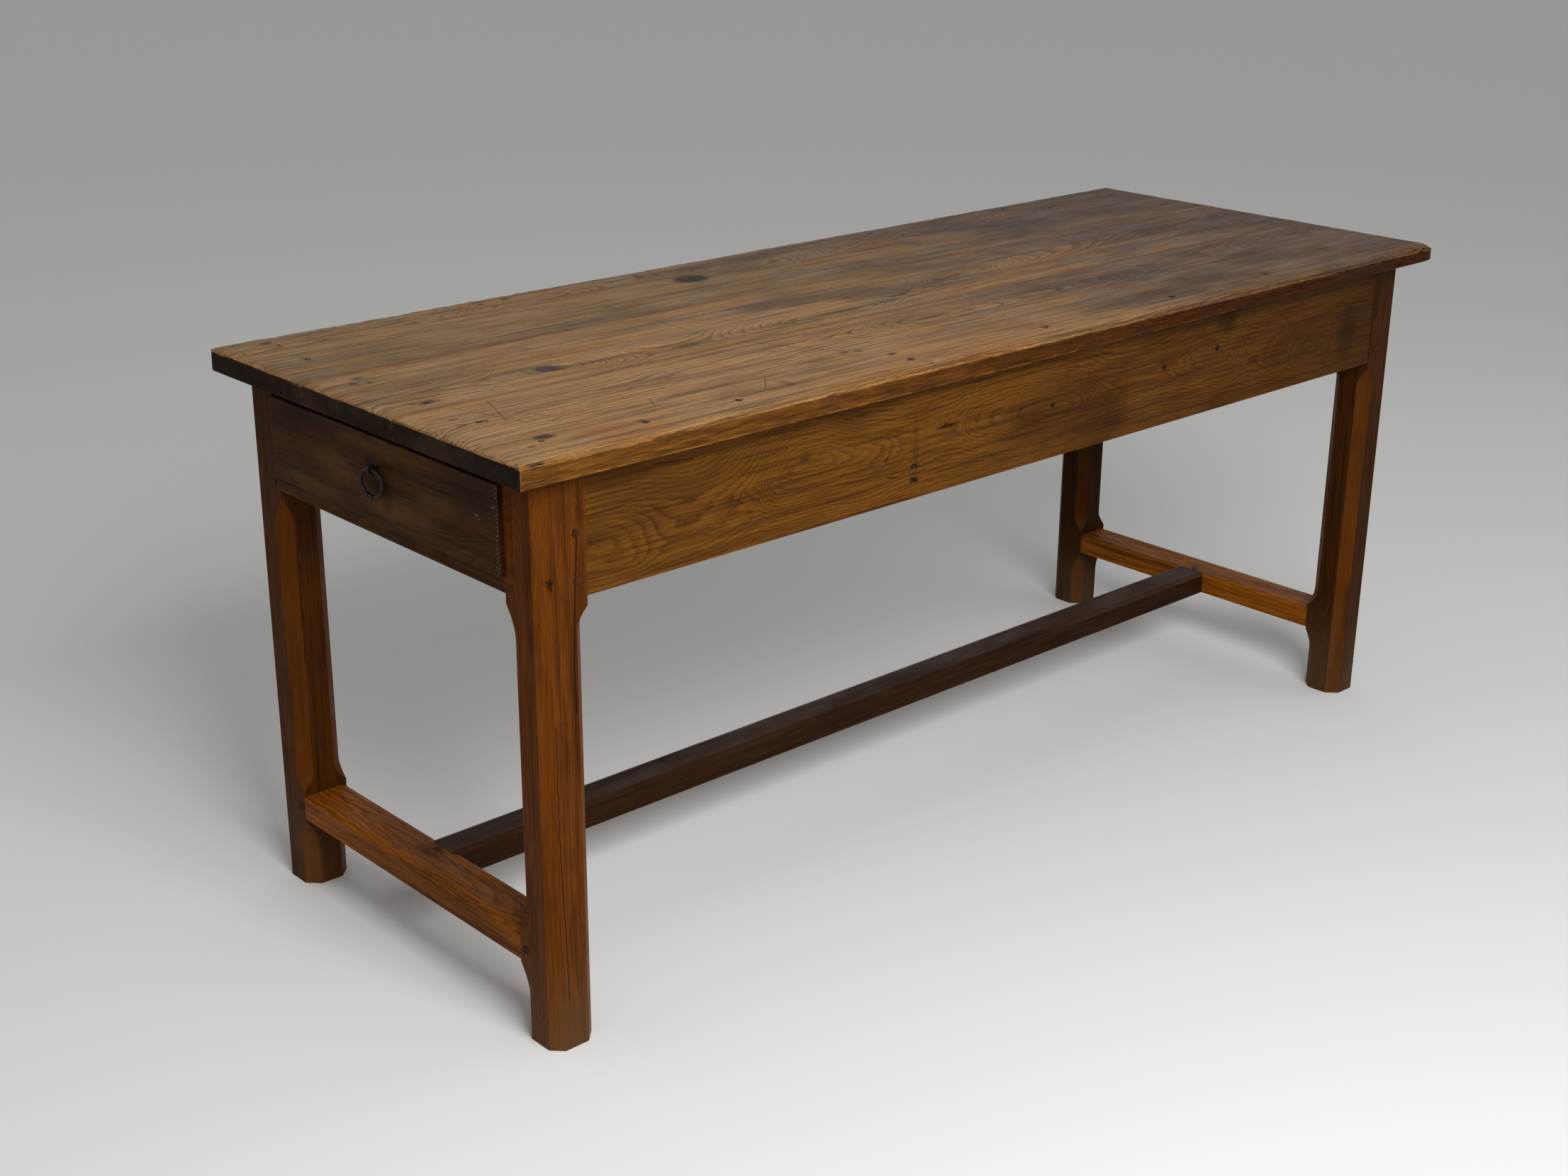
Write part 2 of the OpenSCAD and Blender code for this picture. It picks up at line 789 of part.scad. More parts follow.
module cross_rail() {
    color(inner_colour)
        difference() {
            translate([cross_rail_x, cross_rail_y, apron_z])
                cube([cross_rail_t, cross_rail_w, cross_rail_h]);
            for (back = [0, 1]) {
                at_cross_nails(back) nail_hole(cross_nail_l);
                runner_stub(cross_rail_x, back, tenon_room);
            }
        }
}

module cross_rail_nails() {
    color(iron_colour)
        for (back = [0, 1]) at_cross_nails(back) nail(cross_nail_l);
}

// Places along the drawer carriage for small nails, as many as fit
function nails_along(l) = [for (i = [0 : floor(l / small_nail_pitch) - 1])
    l / 2 + (i - (floor(l / small_nail_pitch) - 1) / 2) * small_nail_pitch];

module at_guide_nails(back) {
    y = frame_y0 + apron_in + guide_w / 2;
    for (x = nails_along(cross_rail_x - frame_x0 - leg))
        translate([frame_x0 + leg + x, back ? 2 * frame_mid_y - y : y, run_z + guide_h]) children();
}

module at_kicker_nails() {
    y = frame_y0 + leg + kicker_w / 2;
    for (back = [0, 1])
        for (x = nails_along(cross_rail_x - kicker_x))
            translate([kicker_x + x, back ? 2 * frame_mid_y - y : y, under_z - kicker_h])
            rotate([180, 0, 0])
            children();
}

module runner(back) {
    w = guide_w + runner_reach;
    y = frame_y0 + apron_in;
    color(inner_colour)
        difference() {
            union() {
                translate([frame_x0 + leg, back ? 2 * frame_mid_y - y - w : y, apron_z])
                    cube([cross_rail_x - frame_x0 - leg, w, rail_h]);
                runner_stub(frame_x0 + leg, back);
                runner_stub(cross_rail_x, back);
            }
            at_guide_nails(back) small_nail_hole(guide_h + nail_bite);
        }
}

module runner_front() {
    runner(0);
}

module runner_back() {
    runner(1);
}

module guide(back) {
    y = frame_y0 + apron_in;
    color(inner_colour)
        difference() {
            translate([frame_x0 + leg, back ? 2 * frame_mid_y - y - guide_w : y, run_z])
                cube([cross_rail_x - frame_x0 - leg, guide_w, guide_h]);
            at_guide_nails(back) small_nail_hole(guide_h + nail_bite);
        }
}

module guide_front() {
    guide(0);
}

module guide_back() {
    guide(1);
}

module kickers() {
    y = frame_y0 + leg;
    color(inner_colour)
        difference() {
            for (back = [0, 1])
                translate([kicker_x, back ? 2 * frame_mid_y - y - kicker_w : y, under_z - kicker_h])
                cube([cross_rail_x - kicker_x, kicker_w, kicker_h]);
            at_kicker_nails() small_nail_hole(kicker_h + nail_bite);
        }
}

module carriage_nails() {
    color(iron_colour) {
        for (back = [0, 1]) at_guide_nails(back) small_nail(guide_h + nail_bite);
        at_kicker_nails() small_nail(kicker_h + nail_bite);
    }
}

module drawer_stops() {
    color(inner_colour)
        for (out = [-drawer_stop_out, drawer_stop_out])
            translate([frame_x0 + drawer_front_t + gap_run, frame_mid_y + out - drawer_stop_w / 2, run_z])
            cube([drawer_stop_l, drawer_stop_w, drawer_stop_h]);
}

// Puts its children in the drawer's own frame: its lower front corner at the origin
module at_drawer() {
    translate([drawer_x, drawer_y, drawer_z]) children();
}

// Puts its children at one side of the drawer, with y from the side's outer face inwards
module at_drawer_side(back) {
    translate([0, back ? drawer_w : 0, 0]) mirror([0, back, 0]) children();
}

// Row of dovetails over height h, drawn in x and z from their shoulder
module tail_row(l, h) {
    pitch = h / tails;
    neck = pitch / 4;
    wide = neck + tail_spread;
    for (i = [0 : tails - 1])
        translate([0, (i + 0.5) * pitch])
        polygon([[-past, -neck], [0, -neck], [l, -wide], [l, wide], [0, neck], [-past, neck]]);
}

module front_tails() {
    translate([drawer_front_t, 0]) mirror([1, 0]) tail_row(drawer_front_t - lap, side_h);
}

module back_tails() {
    translate([drawer_l - drawer_back_t, back_z]) tail_row(drawer_back_t, back_h);
}

// Bottom of the drawer, or with a gap the grooves that hold it
module bottom_panel(gap = 0) {
    in = side_t - groove_d - gap;
    start = drawer_front_t - groove_d - gap;
    translate([start, in, bottom_up])
        cube([drawer_l - start + gap, drawer_w - 2 * in, bottom_t + gap]);
}

module at_bottom_nails() {
    for (i = [0 : bottom_nails - 1])
        translate([drawer_l - drawer_back_t / 2, (i + 0.5) * drawer_w / bottom_nails, bottom_up])
        rotate([180, 0, 0])
        children();
}

module drawer_front() {
    color(drawer_colour)
        difference() {
            at_drawer()
                difference() {
                    along_y(drawer_w)
                        difference() {
                            square([drawer_front_t, drawer_front_h]);
                            corner_waste(drawer_arris_r);
                            translate([0, drawer_front_h]) rotate(-90) corner_waste(drawer_arris_r);
                        }
                    for (back = [0, 1])
                        at_drawer_side(back)
                        translate([0, -past, 0])
                        along_y(past + side_t)
                        front_tails();
                    bottom_panel(panel_gap);
                }
            at_eye()
                rotate([0, 90, 0])
                cylinder(r = eye_shank_r + nail_gap, h = eye_out + drawer_front_t + past);
        }
}

module drawer_side(back) {
    below_z = back_z + back_h;
    end_x = drawer_l - drawer_back_t - past;
    color(inner_colour)
        at_drawer()
        difference() {
            at_drawer_side(back)
                along_y(side_t) {
                    translate([drawer_front_t, 0]) square([end_x + past - drawer_front_t, side_h]);
                    translate([end_x, 0]) square([past + drawer_back_t, back_z]);
                    translate([end_x, below_z]) square([past + drawer_back_t, back_drop]);
                    front_tails();
                    back_tails();
                }
            bottom_panel(panel_gap);
        }
}

module drawer_side_front() {
    drawer_side(0);
}

module drawer_side_back() {
    drawer_side(1);
}

module drawer_back() {
    color(inner_colour)
        at_drawer()
        difference() {
            translate([drawer_l - drawer_back_t, 0, back_z]) cube([drawer_back_t, drawer_w, back_h]);
            for (back = [0, 1])
                at_drawer_side(back)
                translate([0, -past, 0])
                along_y(past + side_t)
                back_tails();
            at_bottom_nails() small_nail_hole(bottom_t + nail_bite);
        }
}

module drawer_bottom() {
    color(inner_colour)
        at_drawer()
        difference() {
            bottom_panel();
            at_bottom_nails() small_nail_hole(bottom_t + nail_bite);
        }
}

module drawer_bottom_nails() {
    color(iron_colour) at_drawer() at_bottom_nails() small_nail(bottom_t + nail_bite);
}

// Middle of the eye that the ring hangs in
module at_eye() {
    translate([eye_x, frame_mid_y, eye_z]) children();
}

// Round wire bent to a circle about the z axis
module wire_ring(r, wire_r) {
    rotate_extrude() translate([r, 0]) circle(wire_r);
}

// Eye on a shank that runs through the drawer front, with two prongs clenched inside
module ring_eye() {
    inner_x = eye_out + drawer_front_t;
    color(iron_colour)
        at_eye() {
            rotate([90, 0, 0]) wire_ring(eye_r, eye_wire_r);
            translate([eye_r, 0, 0])
                rotate([0, 90, 0])
                cylinder(r = eye_shank_r, h = inner_x + prong_t - eye_r);
            for (turn = [0, 180])
                rotate([turn, 0, 0])
                translate([inner_x, 0, 0])
                along_x(prong_t)
                polygon([[-eye_shank_r, 0], [eye_shank_r, 0], [prong_tip_w / 2, prong_l],
                    [-prong_tip_w / 2, prong_l]]);
        }
}

// Puts its children on the ring's wire at an angle from its foot, with z along the wire
module on_ring(angle) {
    rotate([angle, 0, 0]) translate([0, 0, -ring_r]) rotate([90, 0, 0]) children();
}

// Ring with a swelling between two collars, hanging in the eye
module ring_pull() {
    back_off = (pow(swell_l, 2) - pow(swell_r, 2)) / (2 * swell_r);
    collar_turn = asin(swell_l / ring_r);
    color(iron_colour)
        at_eye()
            rotate([0, 0, ring_turn])
            translate([0, 0, -ring_gap - ring_r]) {
            rotate([0, 90, 0]) wire_ring(ring_r, ring_wire_r);
            on_ring(swell_turn)
                rotate_extrude()
                intersection() {
                    translate([-back_off, 0]) circle(back_off + swell_r);
                    translate([0, -swell_l]) square([swell_r, 2 * swell_l]);
                }
            for (turn = [-collar_turn, collar_turn])
                on_ring(swell_turn + turn) cylinder(r = collar_r, h = collar_w, center = true);
        }
}

top_board_front();
top_board_middle();
top_board_back();
top_nails();
leg_front_left();
leg_back_left();
leg_front_right();
leg_back_right();
apron_front();
apron_back();
apron_end();
drawer_rail_lower();
drawer_rail_upper();
stretcher_left();
stretcher_right();
stretcher_centre();
apron_pegs();
rail_pegs();
stretcher_pegs();
cross_rail();
cross_rail_nails();
runner_front();
runner_back();
guide_front();
guide_back();
kickers();
carriage_nails();
drawer_stops();
drawer_front();
drawer_side_front();
drawer_side_back();
drawer_back();
drawer_bottom();
drawer_bottom_nails();
ring_eye();
ring_pull();
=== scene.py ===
"""Old farmhouse table: worn planks, wood and iron finishes, and a plain studio round the frame."""
import math

import bpy
from mathutils import Matrix, Vector


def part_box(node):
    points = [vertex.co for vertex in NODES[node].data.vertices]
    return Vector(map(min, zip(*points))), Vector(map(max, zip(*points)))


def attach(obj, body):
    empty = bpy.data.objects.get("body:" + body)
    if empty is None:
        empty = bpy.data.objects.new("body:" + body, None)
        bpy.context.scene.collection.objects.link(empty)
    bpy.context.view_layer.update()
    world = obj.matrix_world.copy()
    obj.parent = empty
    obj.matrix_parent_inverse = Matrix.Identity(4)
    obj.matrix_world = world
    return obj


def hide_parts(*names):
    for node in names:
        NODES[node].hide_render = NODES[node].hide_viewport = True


bl_info = {
    "name": "Farmhouse Table",
    "version": (1, 0, 0),
    "blender": (4, 5, 0),
    "location": "3D View > Sidebar > Table",
    "description": "Finishes an old plank-top farmhouse table with a stretcher and an end drawer",
    "category": "Object",
}

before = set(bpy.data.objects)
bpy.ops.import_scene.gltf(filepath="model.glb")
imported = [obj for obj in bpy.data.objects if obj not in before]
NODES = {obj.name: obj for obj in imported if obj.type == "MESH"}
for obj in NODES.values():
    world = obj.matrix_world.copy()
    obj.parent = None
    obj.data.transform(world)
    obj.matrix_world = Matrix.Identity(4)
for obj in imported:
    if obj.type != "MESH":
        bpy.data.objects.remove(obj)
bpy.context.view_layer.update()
MM = 1000.0
TOP_L = (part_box("top_board_back")[1].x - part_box("top_board_front")[0].x) * MM

# Points closer than this are one, and faces that meet flatter than this are one face.
WELD = 0.00001
FLAT_ANGLE = math.radians(0.3)
SMOOTH_ANGLE = math.radians(38)
BEVEL_SAMPLES = 4

SOFT_R = 0.0012  # how round all wooden arrises look
SPOT_DEPTH = 60.0  # how deep a stain reaches
BARE_GLOSS = 0.04
IRON_GLOSS = 0.22
SEED_SHIFT = (731.0, 97.0, 53.0)

# Where the figure of a board and of an apron begins, in from the end.
BOARD_START = 0.006
APRON_START = 0.041
# Lengths over which the painted shade of the top and of the long aprons grows.
TOP_SHADE_L = 1775
APRON_SHADE_L = 1700

# A plank's ways: along its grain, across its face and down into the wood.
FLAT = ("+X", "+Y", "-Z")
ON_EDGE = ("+X", "+Z", "+Y")
END_ON_EDGE = ("+Y", "+Z", "+X")


def tone(name, text, colour):
    """Colour property, given as it looks on screen."""
    return bpy.props.FloatVectorProperty(
        name=name, description=text, default=colour, size=3, min=0, max=1, subtype="COLOR_GAMMA"
    )


def ring_line(colour):
    return tone("Ring line", "Dark line at the start of each year's ring", colour)


def body_wood(colour):
    return tone("Body", "Wood between the ring lines", colour)


def pale_wood(colour):
    return tone("Pale", "Lightest wood of a ring", colour)


def length(name, text, default, low, high):
    """Length property in metres."""
    return bpy.props.FloatProperty(
        name=name, description=text, default=default, min=low, max=high, unit="LENGTH", precision=4
    )


def share(name, text, default, high=1.0):
    """Plain number property."""
    return bpy.props.FloatProperty(name=name, description=text, default=default, min=0, max=high)


def power(name, text, default):
    """Lamp power property in watts."""
    return bpy.props.FloatProperty(name=name, description=text, default=default, min=0, unit="POWER")


class TopFinish(bpy.types.PropertyGroup):
    """Look of the plank top."""

    line: ring_line((0.19, 0.115, 0.06))
    body: body_wood((0.53, 0.40, 0.245))
    pale: pale_wood((0.66, 0.50, 0.31))
    # This tone is painted shade with a painted grey sheen: it makes the top darker and greyer towards
    # the far end.
    cool: tone("Cool", "Grey-brown wood towards the far end", (0.30, 0.205, 0.14))
    edge: tone("Long edge", "Wood of the long edges at the drawer end", (0.36, 0.22, 0.07))
    # The far edge tone is the long edge's wood darkened by painted shade.
    far_edge: tone("Far edge", "Wood of the long edges at the other end", (0.20, 0.09, 0.015))
    seam: tone("Seam", "Wood beside the seams", (0.38, 0.235, 0.10))
    end: tone("End grain", "Wood of the sawn ends", (0.11, 0.066, 0.026))
    worn: tone("Worn arris", "Wood laid bare on the arrises", (0.66, 0.46, 0.20))
    wave: length("Wave", "Depth of the hand-planed waves in the outer arrises", 0.0016, 0, 0.006)
    nick: length("Nick", "Depth of the nicks in the outer arrises", 0.0018, 0, 0.008)
    nose: length("Nose", "Depth to which the far end's arrises are rubbed round", 0.008, 0, 0.012)
    slice: length("Slice", "Length of one slice of a board's mesh", 0.006, 0.004, 0.05)


class ApronFinish(bpy.types.PropertyGroup):
    """Look of the three aprons."""

    line: ring_line((0.17, 0.085, 0.02))
    body: body_wood((0.37, 0.225, 0.055))
    pale: pale_wood((0.43, 0.27, 0.075))
    # This tone is painted shade: the long aprons grow darker towards the far end.
    cool: tone("Dark end", "Browner wood towards the far end", (0.17, 0.085, 0.015))


class LegFinish(bpy.types.PropertyGroup):
    """Look of the legs and the pegs."""

    line: ring_line((0.16, 0.075, 0.015))
    body: body_wood((0.34, 0.175, 0.03))
    pale: pale_wood((0.40, 0.21, 0.045))
    dust: tone("Dust", "Dust on the lower ends", (0.36, 0.27, 0.18))
    peg: tone("Peg", "Worn end of a peg", (0.24, 0.135, 0.07))
    rubbed: tone("Rubbed chamfer", "Wood rubbed orange on the chamfers", (0.41, 0.215, 0.03))
    # These two are painted shade: darker copies of the same wood for the legs away from the drawer and
    # for the back legs.
    far_dim: share("Far legs", "How much darker the legs away from the drawer are", 0.34)
    back_dim: share("Back legs", "How much darker the back legs are", 0.18)


class StretcherFinish(bpy.types.PropertyGroup):
    """Look of the stretchers."""

    line: ring_line((0.10, 0.05, 0.02))
    body: body_wood((0.165, 0.09, 0.03))
    pale: pale_wood((0.22, 0.125, 0.05))
    gold: tone("Rubbed top", "Orange-brown top of the end stretchers", (0.50, 0.28, 0.04))
    dust: tone("Dust", "Dust in the hollows", (0.30, 0.205, 0.14))


class DrawerFinish(bpy.types.PropertyGroup):
    """Look of the drawer front, of the rails over and under it, and of the wood inside."""

    line: ring_line((0.10, 0.055, 0.02))
    body: body_wood((0.245, 0.14, 0.04))
    pale: pale_wood((0.32, 0.19, 0.055))
    gold: tone("Golden patch", "Wood rubbed golden on the drawer front", (0.36, 0.235, 0.085))
    nick: tone("Nick", "Pale wood in fresh nicks", (0.56, 0.50, 0.42))
    inner: tone("Inner wood", "Bare pine of the drawer box and its carriage", (0.58, 0.44, 0.28))
    inner_line: tone("Inner line", "Ring lines of the bare pine", (0.42, 0.28, 0.15))


class IronFinish(bpy.types.PropertyGroup):
    """Look of the ring, its eye and the nails."""

    iron: tone("Iron", "Old forged iron", (0.06, 0.04, 0.034))
    rust: tone("Rust", "Rust in the hollows", (0.12, 0.06, 0.035))
    rough: share("Roughness", "How dull the rubbed iron is", 0.28)


class StageSetup(bpy.types.PropertyGroup):
    """Floor, lamps and camera."""

    floor: tone("Floor", "Colour of the floor", (0.86, 0.86, 0.855))
    sky: share("Sky", "Strength of the even light all round", 0.38, 5)
    key: power("Key lamp", "Power of the large lamp", 105)
    fill: power("Fill lamp", "Power of the second lamp", 8)
    lens: bpy.props.FloatProperty(name="Lens", description="Focal length in millimetres",
                                  default=49.03, min=10, max=200)


def linear(colour):
    """Screen colour to the linear colour that a shader takes."""
    return [c / 12.92 if c <= 0.04045 else ((c + 0.055) / 1.055) ** 2.4 for c in colour] + [1.0]


def tinted(colour, by):
    """Screen colour made darker or lighter."""
    return [min(1.0, c * by) for c in colour]


def shaded(colour, by):
    """Shader colour made darker or lighter."""
    return [c * by for c in colour[:3]] + [1.0]


def ring_tones(look, by=1.0):
    """The three tones of a finish's rings, all made darker or lighter."""
    return [tinted(colour, by) for colour in (look.line, look.body, look.pale)]


class Bench:
    """Adds and wires the nodes of one tree."""

    def __init__(self, tree):
        self.tree = tree

    def put(self, socket, value):
        """Gives a socket a value, or another node's output."""
        if isinstance(value, bpy.types.NodeSocket):
            self.tree.links.new(value, socket)
        else:
            socket.default_value = value

    def add(self, kind, sockets=None, **settings):
        """New node with its settings, and what its sockets take by name or number."""
        node = self.tree.nodes.new(kind)
        for name, value in settings.items():
            setattr(node, name, value)
        for key, value in (sockets or {}).items():
            self.put(node.inputs[key], value)
        return node

    def fill(self, node, values):
        """Fills a node's sockets from the first one on."""
        for socket, value in zip(node.inputs, values):
            self.put(socket, value)
        return node

    def math(self, operation, *values, clamp=False):
        node = self.add("ShaderNodeMath", operation=operation, use_clamp=clamp)
        return self.fill(node, values).outputs[0]

    def fold(self, operation, values):
        """Many values made one, two at a time."""
        result = values[0]
        for value in values[1:]:
            result = self.math(operation, result, value)
        return result

    def total(self, *values):
        return self.fold("ADD", values)

    def times(self, *values):
        return self.fold("MULTIPLY", values)

    def size(self, value):
        return self.math("ABSOLUTE", value)

    def vector(self, operation, *values):
        node = self.fill(self.add("ShaderNodeVectorMath", operation=operation), values)
        flat = operation in ("LENGTH", "DOT_PRODUCT")
        return node.outputs["Value" if flat else "Vector"]

    def scaled(self, vector, by):
        sockets = {0: vector, "Scale": by}
        return self.add("ShaderNodeVectorMath", sockets, operation="SCALE").outputs[0]

    def parts(self, vector):
        return list(self.add("ShaderNodeSeparateXYZ", {0: vector}).outputs)

    def joined(self, *parts):
        return self.fill(self.add("ShaderNodeCombineXYZ"), parts).outputs[0]

    def facing(self):
        """How far a face looks along X, Y and Z."""
        return self.parts(self.add("ShaderNodeNewGeometry").outputs["Normal"])

    def slope(self, value, start, end, low, high, kind="LINEAR"):
        """Goes from low to high in a straight line while a value goes from start to end."""
        node = self.add("ShaderNodeMapRange", interpolation_type=kind)
        return self.fill(node, (value, start, end, low, high)).outputs[0]

    def step(self, value, start, end, low=0.0, high=1.0):
        """Goes from low to high smoothly while a value goes from start to end."""
        return self.slope(value, start, end, low, high, "SMOOTHSTEP")

    def profile(self, value, points):
        """Smooth curve through given points of place and height, both in millimetres."""
        heights = [height for _, height in points]
        low, high = min(heights) - 1, max(heights) + 1
        start, end = points[0][0], points[-1][0]
        node = self.add("ShaderNodeFloatCurve")
        curve = node.mapping.curves[0]
        spots = [((p - start) / (end - start), (h - low) / (high - low)) for p, h in points]
        curve.points[0].location, curve.points[1].location = spots[0], spots[-1]
        for spot in spots[1:-1]:
            curve.points.new(*spot)
        node.mapping.update()
        self.put(node.inputs["Value"], self.slope(value, start, end, 0.0, 1.0))
        return self.slope(node.outputs[0], 0, 1, low, high)

    def noise(self, vector, stretch, detail=2.0, rough=0.5, twist=0.0):
        """Cloudy noise, its place multiplied along each axis."""
        return self.add("ShaderNodeTexNoise", {
            "Scale": 1.0, "Detail": detail, "Roughness": rough, "Distortion": twist,
            "Vector": self.vector("MULTIPLY", vector, stretch)}).outputs[0]

    def ragged(self, place, scale, reach):
        """Place pushed about by soft noise, so that what is drawn on it has ragged outlines."""
        noise = self.add("ShaderNodeTexNoise", {"Scale": scale, "Detail": 3.0, "Vector": place})
        push = self.vector("SUBTRACT", noise.outputs["Color"], (0.5, 0.5, 0.5))
        return self.vector("ADD", place, self.vector("MULTIPLY", push, reach))

    def blend(self, amount, a, b, how="MIX"):
        node = self.add("ShaderNodeMix", {0: amount, 6: a, 7: b}, data_type="RGBA", blend_type=how)
        return node.outputs[2]

    def coat(self, colour, mask, amount, other, how="MIX"):
        """Colour with another laid over it, as far as a mask and an amount allow."""
        return self.blend(self.times(mask, amount), colour, other, how)

    def mottle(self, colour, grey):
        """Colour made darker and lighter by a grey pattern."""
        return self.blend(1.0, colour, grey, "MULTIPLY")

    def use(self, make, *values):
        """Outputs of a shared group, which is made the first time."""
        tree = bpy.data.node_groups.get(make.__name__) or make(make.__name__)
        return self.fill(self.add("ShaderNodeGroup", node_tree=tree), values).outputs

    def spot(self, place, u, v, long, wide):
        """Soft oval spot on the face of a plank."""
        return self.use(soft_spot, place, (u, v, 0), (long, wide, SPOT_DEPTH))[0]

    def rounded(self, radius):
        """Normal that makes arrises look rounded."""
        return self.add("ShaderNodeBevel", {"Radius": radius}, samples=BEVEL_SAMPLES).outputs[0]

    def worn_arris(self, radius):
        """One on an arris and nothing on flat faces."""
        sharp = self.add("ShaderNodeNewGeometry").outputs["Normal"]
        return self.step(self.vector("DOT_PRODUCT", self.rounded(radius), sharp), 0.985, 0.80)

    def relief(self, height):
        """Bump whose height is in millimetres."""
        return self.add("ShaderNodeBump", {"Distance": 1 / MM, "Strength": 1.0, "Height": height})

    def cover(self, **sockets):
        """Shader on the whole surface. A socket's name has _ where Blender's has a space."""
        sockets = {name.replace("_", " "): value for name, value in sockets.items()}
        shader = self.add("ShaderNodeBsdfPrincipled", sockets)
        self.add("ShaderNodeOutputMaterial", {"Surface": shader.outputs[0]})


class Plank(Bench):
    """Bench for one plank: u, v and w are millimetres along, across and down into its wood."""

    def __init__(self, tree, corner, ways, seed):
        super().__init__(tree)
        here = self.add("ShaderNodeTexCoord").outputs["Object"]
        here = self.scaled(self.vector("SUBTRACT", here, Vector(corner)), MM)
        xyz = dict(zip("XYZ", self.parts(here)))
        self.place = self.joined(*(self.times(xyz[way[1]], -1.0 if way[0] == "-" else 1.0)
                                   for way in ways))
        self.shifted = self.vector("ADD", self.place, [seed * by for by in SEED_SHIFT])
        self.u, self.v, self.w = self.parts(self.place)

    def patches(self, long, wide, deep=None, detail=3.0, rough=0.6, twist=0.0):
        """Noise in patches of a length, width and depth, different on each plank."""
        stretch = (1 / long, 1 / wide, 1 / (deep or wide))
        return self.noise(self.shifted, stretch, detail, rough, twist)


def new_group(name, inputs, outputs):
    """Empty shader group with its sockets, and a bench to fill it."""
    tree = bpy.data.node_groups.new(name, "ShaderNodeTree")
    for socket, kind in inputs.items():
        tree.interface.new_socket(socket, in_out="INPUT", socket_type="NodeSocket" + kind)
    for socket in outputs:
        tree.interface.new_socket(socket, in_out="OUTPUT", socket_type="NodeSocketFloat")
    bench = Bench(tree)
    return bench, bench.add("NodeGroupInput").outputs, bench.add("NodeGroupOutput").inputs


def soft_spot(name):
    """Soft oval spot: one inside, nothing outside."""
    sockets = {"Place": "Vector", "Centre": "Vector", "Reach": "Vector"}
    bench, given, out = new_group(name, sockets, ["Spot"])
    off = bench.vector("DIVIDE", bench.vector("SUBTRACT", given[0], given[1]), given[2])
    bench.put(out[0], bench.step(bench.vector("LENGTH", off), 1.0, 0.35))
    return bench.tree


def scratch(name):
    """Thin straight line between two places."""
    sockets = {"Place": "Vector", "From": "Vector", "To": "Vector", "Width": "Float"}
    bench, given, out = new_group(name, sockets, ["Line"])
    run = bench.vector("SUBTRACT", given["To"], given["From"])
    gone = bench.vector("SUBTRACT", given["Place"], given["From"])
    along = bench.math("DIVIDE", bench.vector("DOT_PRODUCT", gone, run),
                       bench.vector("DOT_PRODUCT", run, run), clamp=True)
    off = bench.vector("LENGTH", bench.vector("SUBTRACT", gone, bench.scaled(run, along)))
    bench.put(out[0], bench.step(bench.math("DIVIDE", off, given["Width"]), 1.0, 0.2))
    return bench.tree


def knot(name):
    """Knot: how far it bends the grain aside, its core, and the distance from its middle."""
    sockets = {"Place": "Vector", "Centre": "Vector", "Radius": "Float"}
    bench, given, out = new_group(name, sockets, ["Bend", "Core", "Out"])
    du, dv, _ = bench.parts(bench.vector("SUBTRACT", given["Place"], given["Centre"]))
    across, along = bench.times(dv, dv), bench.times(du, du)
    area = bench.times(given["Radius"], given["Radius"])
    spread = bench.total(bench.times(along, 0.3), across, bench.times(area, 0.35))
    bend = bench.math("DIVIDE", bench.times(dv, area), spread)
    off = bench.math("SQRT", bench.total(bench.times(along, 0.7), across))
    bench.put(out[0], bench.times(bend, 1.15))
    bench.put(out[1], bench.step(bench.math("DIVIDE", off, given["Radius"]), 1.15, 0.7))
    bench.put(out[2], off)
    return bench.tree


def corner_of(node, ways, start=0.0):
    """Corner of a CAD node from which its wood is measured, moved a way along the grain."""
    low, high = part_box(node)
    corner = Vector(low)
    for way in ways:
        if way[0] == "-":
            corner["XYZ".index(way[1])] = high["XYZ".index(way[1])]
    corner["XYZ".index(ways[0][1])] += start
    return corner


def empty_material(name):
    """New material with no nodes yet."""
    material = bpy.data.materials.new(name)
    material.use_nodes = True
    material.node_tree.nodes.clear()
    return material


def ring_distance(plank, quick, knots, crown, depth, wander, ripple, feather):
    """Distance from the pith, bent round the knots and wavering, with each knot's core and rings."""
    bent, cores, rings = plank.v, [], []
    for u, v, radius in knots:
        bend, core, ring = plank.use(knot, plank.place, (u, v, 0), radius)
        bent = plank.math("SUBTRACT", bent, bend)
        cores.append(core)
        rings.append(ring)
    side = plank.math("SUBTRACT", bent, plank.profile(plank.u, crown))
    under = plank.math("SUBTRACT", plank.profile(plank.u, depth), plank.w)
    radius = plank.math("SQRT", plank.total(plank.times(side, side), plank.times(under, under)))
    for patches, reach in ((plank.patches(420, 80, detail=2.0, rough=0.5), wander),
                           (quick, ripple),
                           (plank.patches(14, 4, detail=2.0), feather)):
        radius = plank.total(radius, plank.slope(patches, 0.2, 0.8, -reach, reach))
    return radius, cores, rings


def ring_line_and_late(plank, radius, spacing, seed):
    """Dark line at the start of each year, strong in some years, and the paler wood at its end."""
    swell = plank.math("SINE", plank.times(radius, 0.11 + 0.013 * (seed % 3)))
    ring = plank.math("DIVIDE", plank.total(radius, plank.times(swell, 2.4)), spacing)
    year, phase = plank.math("FLOOR", ring), plank.math("FRACT", ring)
    luck = plank.add("ShaderNodeTexWhiteNoise", noise_dimensions="1D")
    plank.put(luck.inputs["W"], plank.total(year, seed))
    strong = plank.slope(luck.outputs[0], 0.0, 1.0, 0.35, 1.0)
    early = plank.step(plank.size(plank.math("SUBTRACT", phase, 0.16)), 0.20, 0.02)
    dashes = plank.step(plank.patches(12, 0.8, detail=2.0), 0.36, 0.60, 0.30, 1.0)
    return plank.times(early, strong, dashes), plank.step(phase, 0.30, 0.95)


